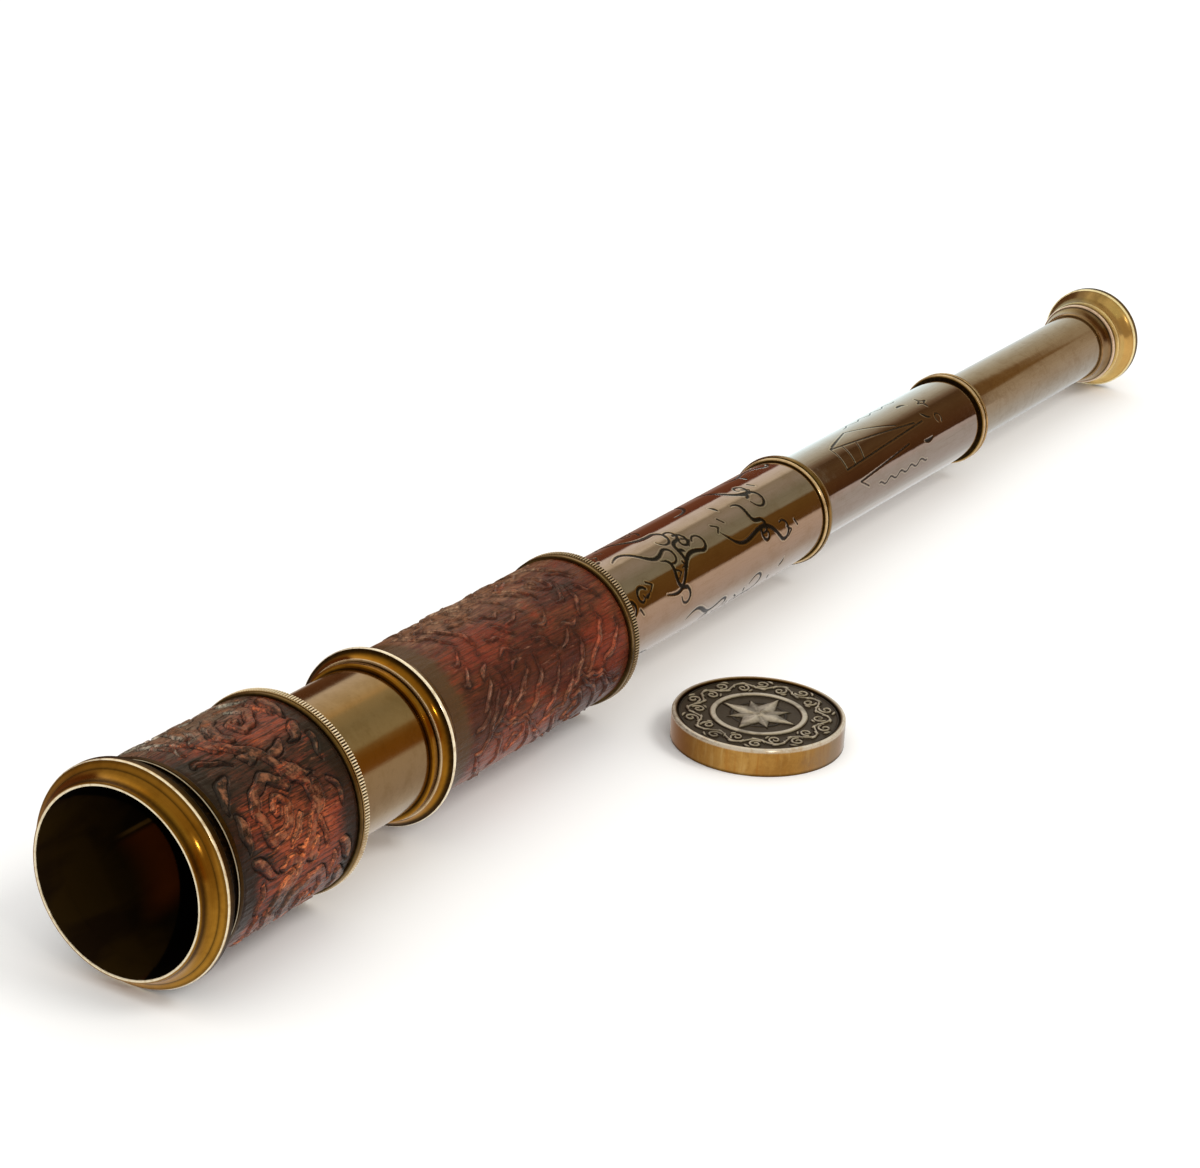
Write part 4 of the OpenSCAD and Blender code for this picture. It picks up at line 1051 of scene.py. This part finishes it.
for names, mat in ((("objective_cell", "objective_retaining_ring", "erector_cartridge", "erector_stop", "eyepiece_cell", "field_stop"), black),
                   (("objective_crown_lens", "objective_flint_lens", "erector_front_lens", "erector_rear_lens", "field_lens", "eye_lens"), lens),
                   (("draw_1_bush", "draw_2_bush", "draw_3_bush"), inner)):
    for name in names:
        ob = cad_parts[name]
        ob.data.materials.clear()
        ob.data.materials.append(mat)
        for poly in ob.data.polygons:
            poly.material_index = 0

# ---------------------------------------------------------------- floor, light, camera

size = 9.0
z0 = table_z(0) * MM - 0.00005
floor = mesh_object("floor", [(-size * 1000, -size * 1000, (z0 - size * SLOPE) * 1000), (size * 1000, -size * 1000, (z0 + size * SLOPE) * 1000),
                              (size * 1000, size * 1000, (z0 + size * SLOPE) * 1000), (-size * 1000, size * 1000, (z0 - size * SLOPE) * 1000)],
                    [[0, 1, 2, 3]])
fm = Shader("pale_floor", Roughness=0.9)
fm.b.inputs["Specular IOR Level"].default_value = 0.1
fn = fm.noise(fm.p, 0.004, 3, 0.5)
floor.data.materials.append(fm.set(Base_Color=fm.ramp(fn, [(0.3, (0.93, 0.93, 0.93)), (0.7, (0.96, 0.96, 0.96))])))
floor.visible_glossy = False

world = bpy.data.worlds.new("studio")
bpy.context.scene.world = world
world.use_nodes = True
world.cycles.sampling_method = "NONE"
W = Shader.__new__(Shader)
W.nt = world.node_tree
W.nt.nodes.clear()
wo = W.nt.nodes.new("ShaderNodeOutputWorld")
co = W.nt.nodes.new("ShaderNodeTexCoord")
wx, wy, wz = W.xyz(co.outputs["Generated"])[:3]
phi = W.m("ARCTAN2", W.m("MULTIPLY", wy, -1.0), wz)         # 0 straight up, +90 degrees toward the camera's side
turn = W.m("DIVIDE", W.m("ADD", phi, math.pi), TAU)          # 0.5 is straight up


def at(deg):
    return (deg + 180) / 360


ahead = W.ramp(turn, [
    (at(-180), (0.80, 0.80, 0.78)), (at(-113), (0.60, 0.50, 0.42)), (at(-104), (0.15, 0.065, 0.025)), (at(-63), (0.13, 0.05, 0.018)),
    (at(-58), (0.95, 0.88, 0.78)), (at(-22), (0.86, 0.76, 0.56)), (at(-10), (0.80, 0.62, 0.34)), (at(-4), (0.54, 0.48, 0.31)), (at(18), (0.43, 0.40, 0.27)),
    (at(51), (0.52, 0.48, 0.33)), (at(55), (0.36, 0.22, 0.07)), (at(66), (0.30, 0.14, 0.02)), (at(87), (0.31, 0.14, 0.025)), (at(91), (0.64, 0.57, 0.49)), (at(140), (0.55, 0.49, 0.44)),
    (at(165), (0.66, 0.62, 0.57)), (at(180), (0.80, 0.80, 0.78))])
behind = W.ramp(turn, [
    (at(-180), (0.80, 0.78, 0.74)), (at(-125), (0.60, 0.56, 0.50)), (at(-88), (0.32, 0.25, 0.18)), (at(-50), (0.44, 0.39, 0.33)), (at(-12), (0.48, 0.42, 0.33)),
    (at(25), (0.40, 0.32, 0.20)), (at(52), (0.34, 0.26, 0.13)), (at(80), (0.30, 0.21, 0.10)), (at(98), (0.46, 0.38, 0.27)), (at(125), (0.72, 0.66, 0.57)),
    (at(180), (0.80, 0.78, 0.74))])
side = W.rng(wx, -0.35, 0.25)
glossy = W.mix(side, behind, ahead)
soft = W.ramp(W.rng(wz, -0.2, 1.0, smooth=False), [(0.0, (1.0, 0.99, 0.98)), (0.35, (0.95, 0.94, 0.92)), (1.0, (1.12, 1.11, 1.08))])
lp = W.nt.nodes.new("ShaderNodeLightPath")
bg = W.mix(lp.outputs["Is Glossy Ray"], soft, glossy)
bg = W.mix(lp.outputs["Is Camera Ray"], bg, (1.0, 1.0, 1.0))
back = W.nt.nodes.new("ShaderNodeBackground")
W.put(back.inputs["Color"], bg)
W.nt.links.new(back.outputs[0], wo.inputs["Surface"])


def lamp(name, kind, place, aim, energy, size, colour=(1, 1, 1), glossy=True):
    li = bpy.data.lights.new(name, kind)
    li.energy = energy
    li.color = colour
    if kind == "AREA":
        li.shape = "DISK"
        li.size = size
    else:
        li.shadow_soft_size = size
    ob = bpy.data.objects.new(name, li)
    ob.location = place
    d = np.array(aim, float) - np.array(place, float)
    ob.rotation_euler = (math.atan2(math.hypot(d[0], d[1]), -d[2]), 0, math.atan2(d[0], -d[1]) + math.pi) if kind == "AREA" else (0, 0, 0)
    ob.visible_glossy = glossy
    bpy.context.scene.collection.objects.link(ob)
    return ob


lamp("key", "AREA", (0.35, -0.9, 1.1), (0.2, 0, 0), 6.0, 0.5, (1.0, 0.97, 0.92), glossy=False)
lamp("spark", "POINT", (-0.35, -0.66, 0.44), (0, 0, 0), 2.0, 0.014, (1.0, 0.94, 0.84))

# Sleeve of painted card round the draw tubes, seen only in their reflections
card_r, a0, a1, nc = 150.0, -180.0, 180.0, 90
rim = [math.radians(a0 + (a1 - a0) * i / nc) for i in range(nc + 1)]
xs = (350.0, 491.5, 614.5, 780.0)
card = mesh_object("reflection_card", [(x, -card_r * math.sin(a), card_r * math.cos(a)) for x in xs for a in rim],
                   [[k * (nc + 1) + i, k * (nc + 1) + i + 1, (k + 1) * (nc + 1) + i + 1, (k + 1) * (nc + 1) + i] for k in range(len(xs) - 1) for i in range(nc)])
C = Shader("card_paint")
cx, cy, cz = C.xyz(C.p)[:3]
wob = C.m("MULTIPLY", C.m("SUBTRACT", C.noise(C.p, 0.02, 3, 0.6), 0.5), 0.10)
turn = C.m("ADD", C.m("DIVIDE", C.m("ADD", C.m("ARCTAN2", C.m("MULTIPLY", cy, -1.0), cz), math.pi), TAU), C.m("MULTIPLY", wob, C.rng(cx, 600.0, 630.0, 0.10, 1.0)))
first = C.ramp(turn, [(at(-180), (0.72, 0.72, 0.73)), (at(-150), (0.70, 0.68, 0.66)), (at(-128), (0.30, 0.22, 0.18)), (at(-97), (0.36, 0.22, 0.18)), (at(-80), (0.22, 0.08, 0.04)), (at(-50), (0.20, 0.06, 0.03)), (at(-46), (0.96, 0.90, 0.88)),
                      (at(-20), (0.84, 0.78, 0.66)), (at(-14), (0.42, 0.37, 0.28)), (at(4), (0.45, 0.41, 0.35)), (at(26), (0.33, 0.32, 0.24)), (at(44), (0.36, 0.35, 0.26)),
                      (at(47.5), (0.20, 0.11, 0.028)), (at(86), (0.17, 0.08, 0.020)), (at(90.5), (0.76, 0.63, 0.54)), (at(112), (0.70, 0.58, 0.51)), (at(140), (0.62, 0.54, 0.50)),
                      (at(158), (0.70, 0.68, 0.67)), (at(180), (0.72, 0.72, 0.73))])
second = C.ramp(turn, [(at(-180), (0.80, 0.80, 0.80)), (at(-145), (0.85, 0.88, 0.88)), (at(-128), (1.05, 1.15, 1.15)), (at(-97), (1.15, 1.35, 1.40)), (at(-72), (1.00, 1.16, 1.16)), (at(-55), (0.86, 0.94, 0.88)), (at(-38), (0.72, 0.73, 0.62)),
                       (at(-22), (0.49, 0.45, 0.34)), (at(-9), (0.26, 0.18, 0.11)), (at(1), (0.12, 0.065, 0.027)), (at(20), (0.15, 0.085, 0.035)), (at(60), (0.125, 0.055, 0.020)),
                       (at(79), (0.10, 0.042, 0.016)), (at(81), (0.70, 0.63, 0.62)), (at(98), (0.60, 0.58, 0.57)), (at(140), (0.62, 0.60, 0.60)), (at(165), (0.68, 0.70, 0.70)),
                       (at(180), (0.85, 0.90, 0.92))])
third = C.ramp(turn, [(at(-180), (0.70, 0.72, 0.74)), (at(-140), (0.76, 0.80, 0.82)), (at(-110), (0.90, 1.00, 1.05)), (at(-72), (0.80, 0.83, 0.79)), (at(-55), (0.72, 0.72, 0.66)),
                      (at(-30), (0.58, 0.53, 0.43)), (at(0), (0.50, 0.41, 0.29)), (at(45), (0.47, 0.36, 0.25)), (at(70), (0.56, 0.46, 0.36)), (at(98), (0.60, 0.53, 0.48)),
                      (at(140), (0.64, 0.64, 0.66)), (at(180), (0.70, 0.72, 0.74))])
degrees = C.m("SUBTRACT", C.m("MULTIPLY", turn, 360.0), 180.0)
upper = C.rng(cx, 614.0, 706.0, -8.0, 33.0, smooth=False)
lower = C.rng(cx, 614.0, 706.0, 47.0, 39.0, smooth=False)
wedge = C.m("MULTIPLY", C.rng(C.m("SUBTRACT", degrees, upper), -10.0, 8.0), C.rng(C.m("SUBTRACT", lower, degrees), -1.5, 2.0))
wedge = C.m("MULTIPLY", wedge, C.rng(cx, 692.0, 716.0, 1.0, 0.0))
third_paint = C.mix(wedge, third, (0.25, 0.135, 0.045))
paint = C.mix(C.rng(cx, 490.5, 492.5), first, C.mix(C.rng(cx, 613.0, 616.0), second, third_paint))
glow = C.nt.nodes.new("ShaderNodeEmission")
C.nt.links.new(paint, glow.inputs["Color"])
C.nt.links.new(glow.outputs[0], C.out.inputs[0])
card.data.materials.append(C.mat)
for flag in ("camera", "diffuse", "shadow", "transmission", "volume_scatter"):
    setattr(card, "visible_" + flag, False)

cam = bpy.data.cameras.new("camera")
cam.lens = 108.0
cam.sensor_width = 36.0
cam.sensor_fit = "HORIZONTAL"
cam.clip_start, cam.clip_end = 0.05, 50
camera = bpy.data.objects.new("camera", cam)
camera.location = (-0.51305, -0.41097, 0.33730)
camera.rotation_euler = Euler([math.radians(a) for a in (67.816, -3.555, -58.067)], "XYZ")
bpy.context.scene.collection.objects.link(camera)
bpy.context.scene.camera = camera

vs = bpy.context.scene.view_settings
vs.view_transform = "Standard"
vs.look = "None"
vs.exposure = 0.0
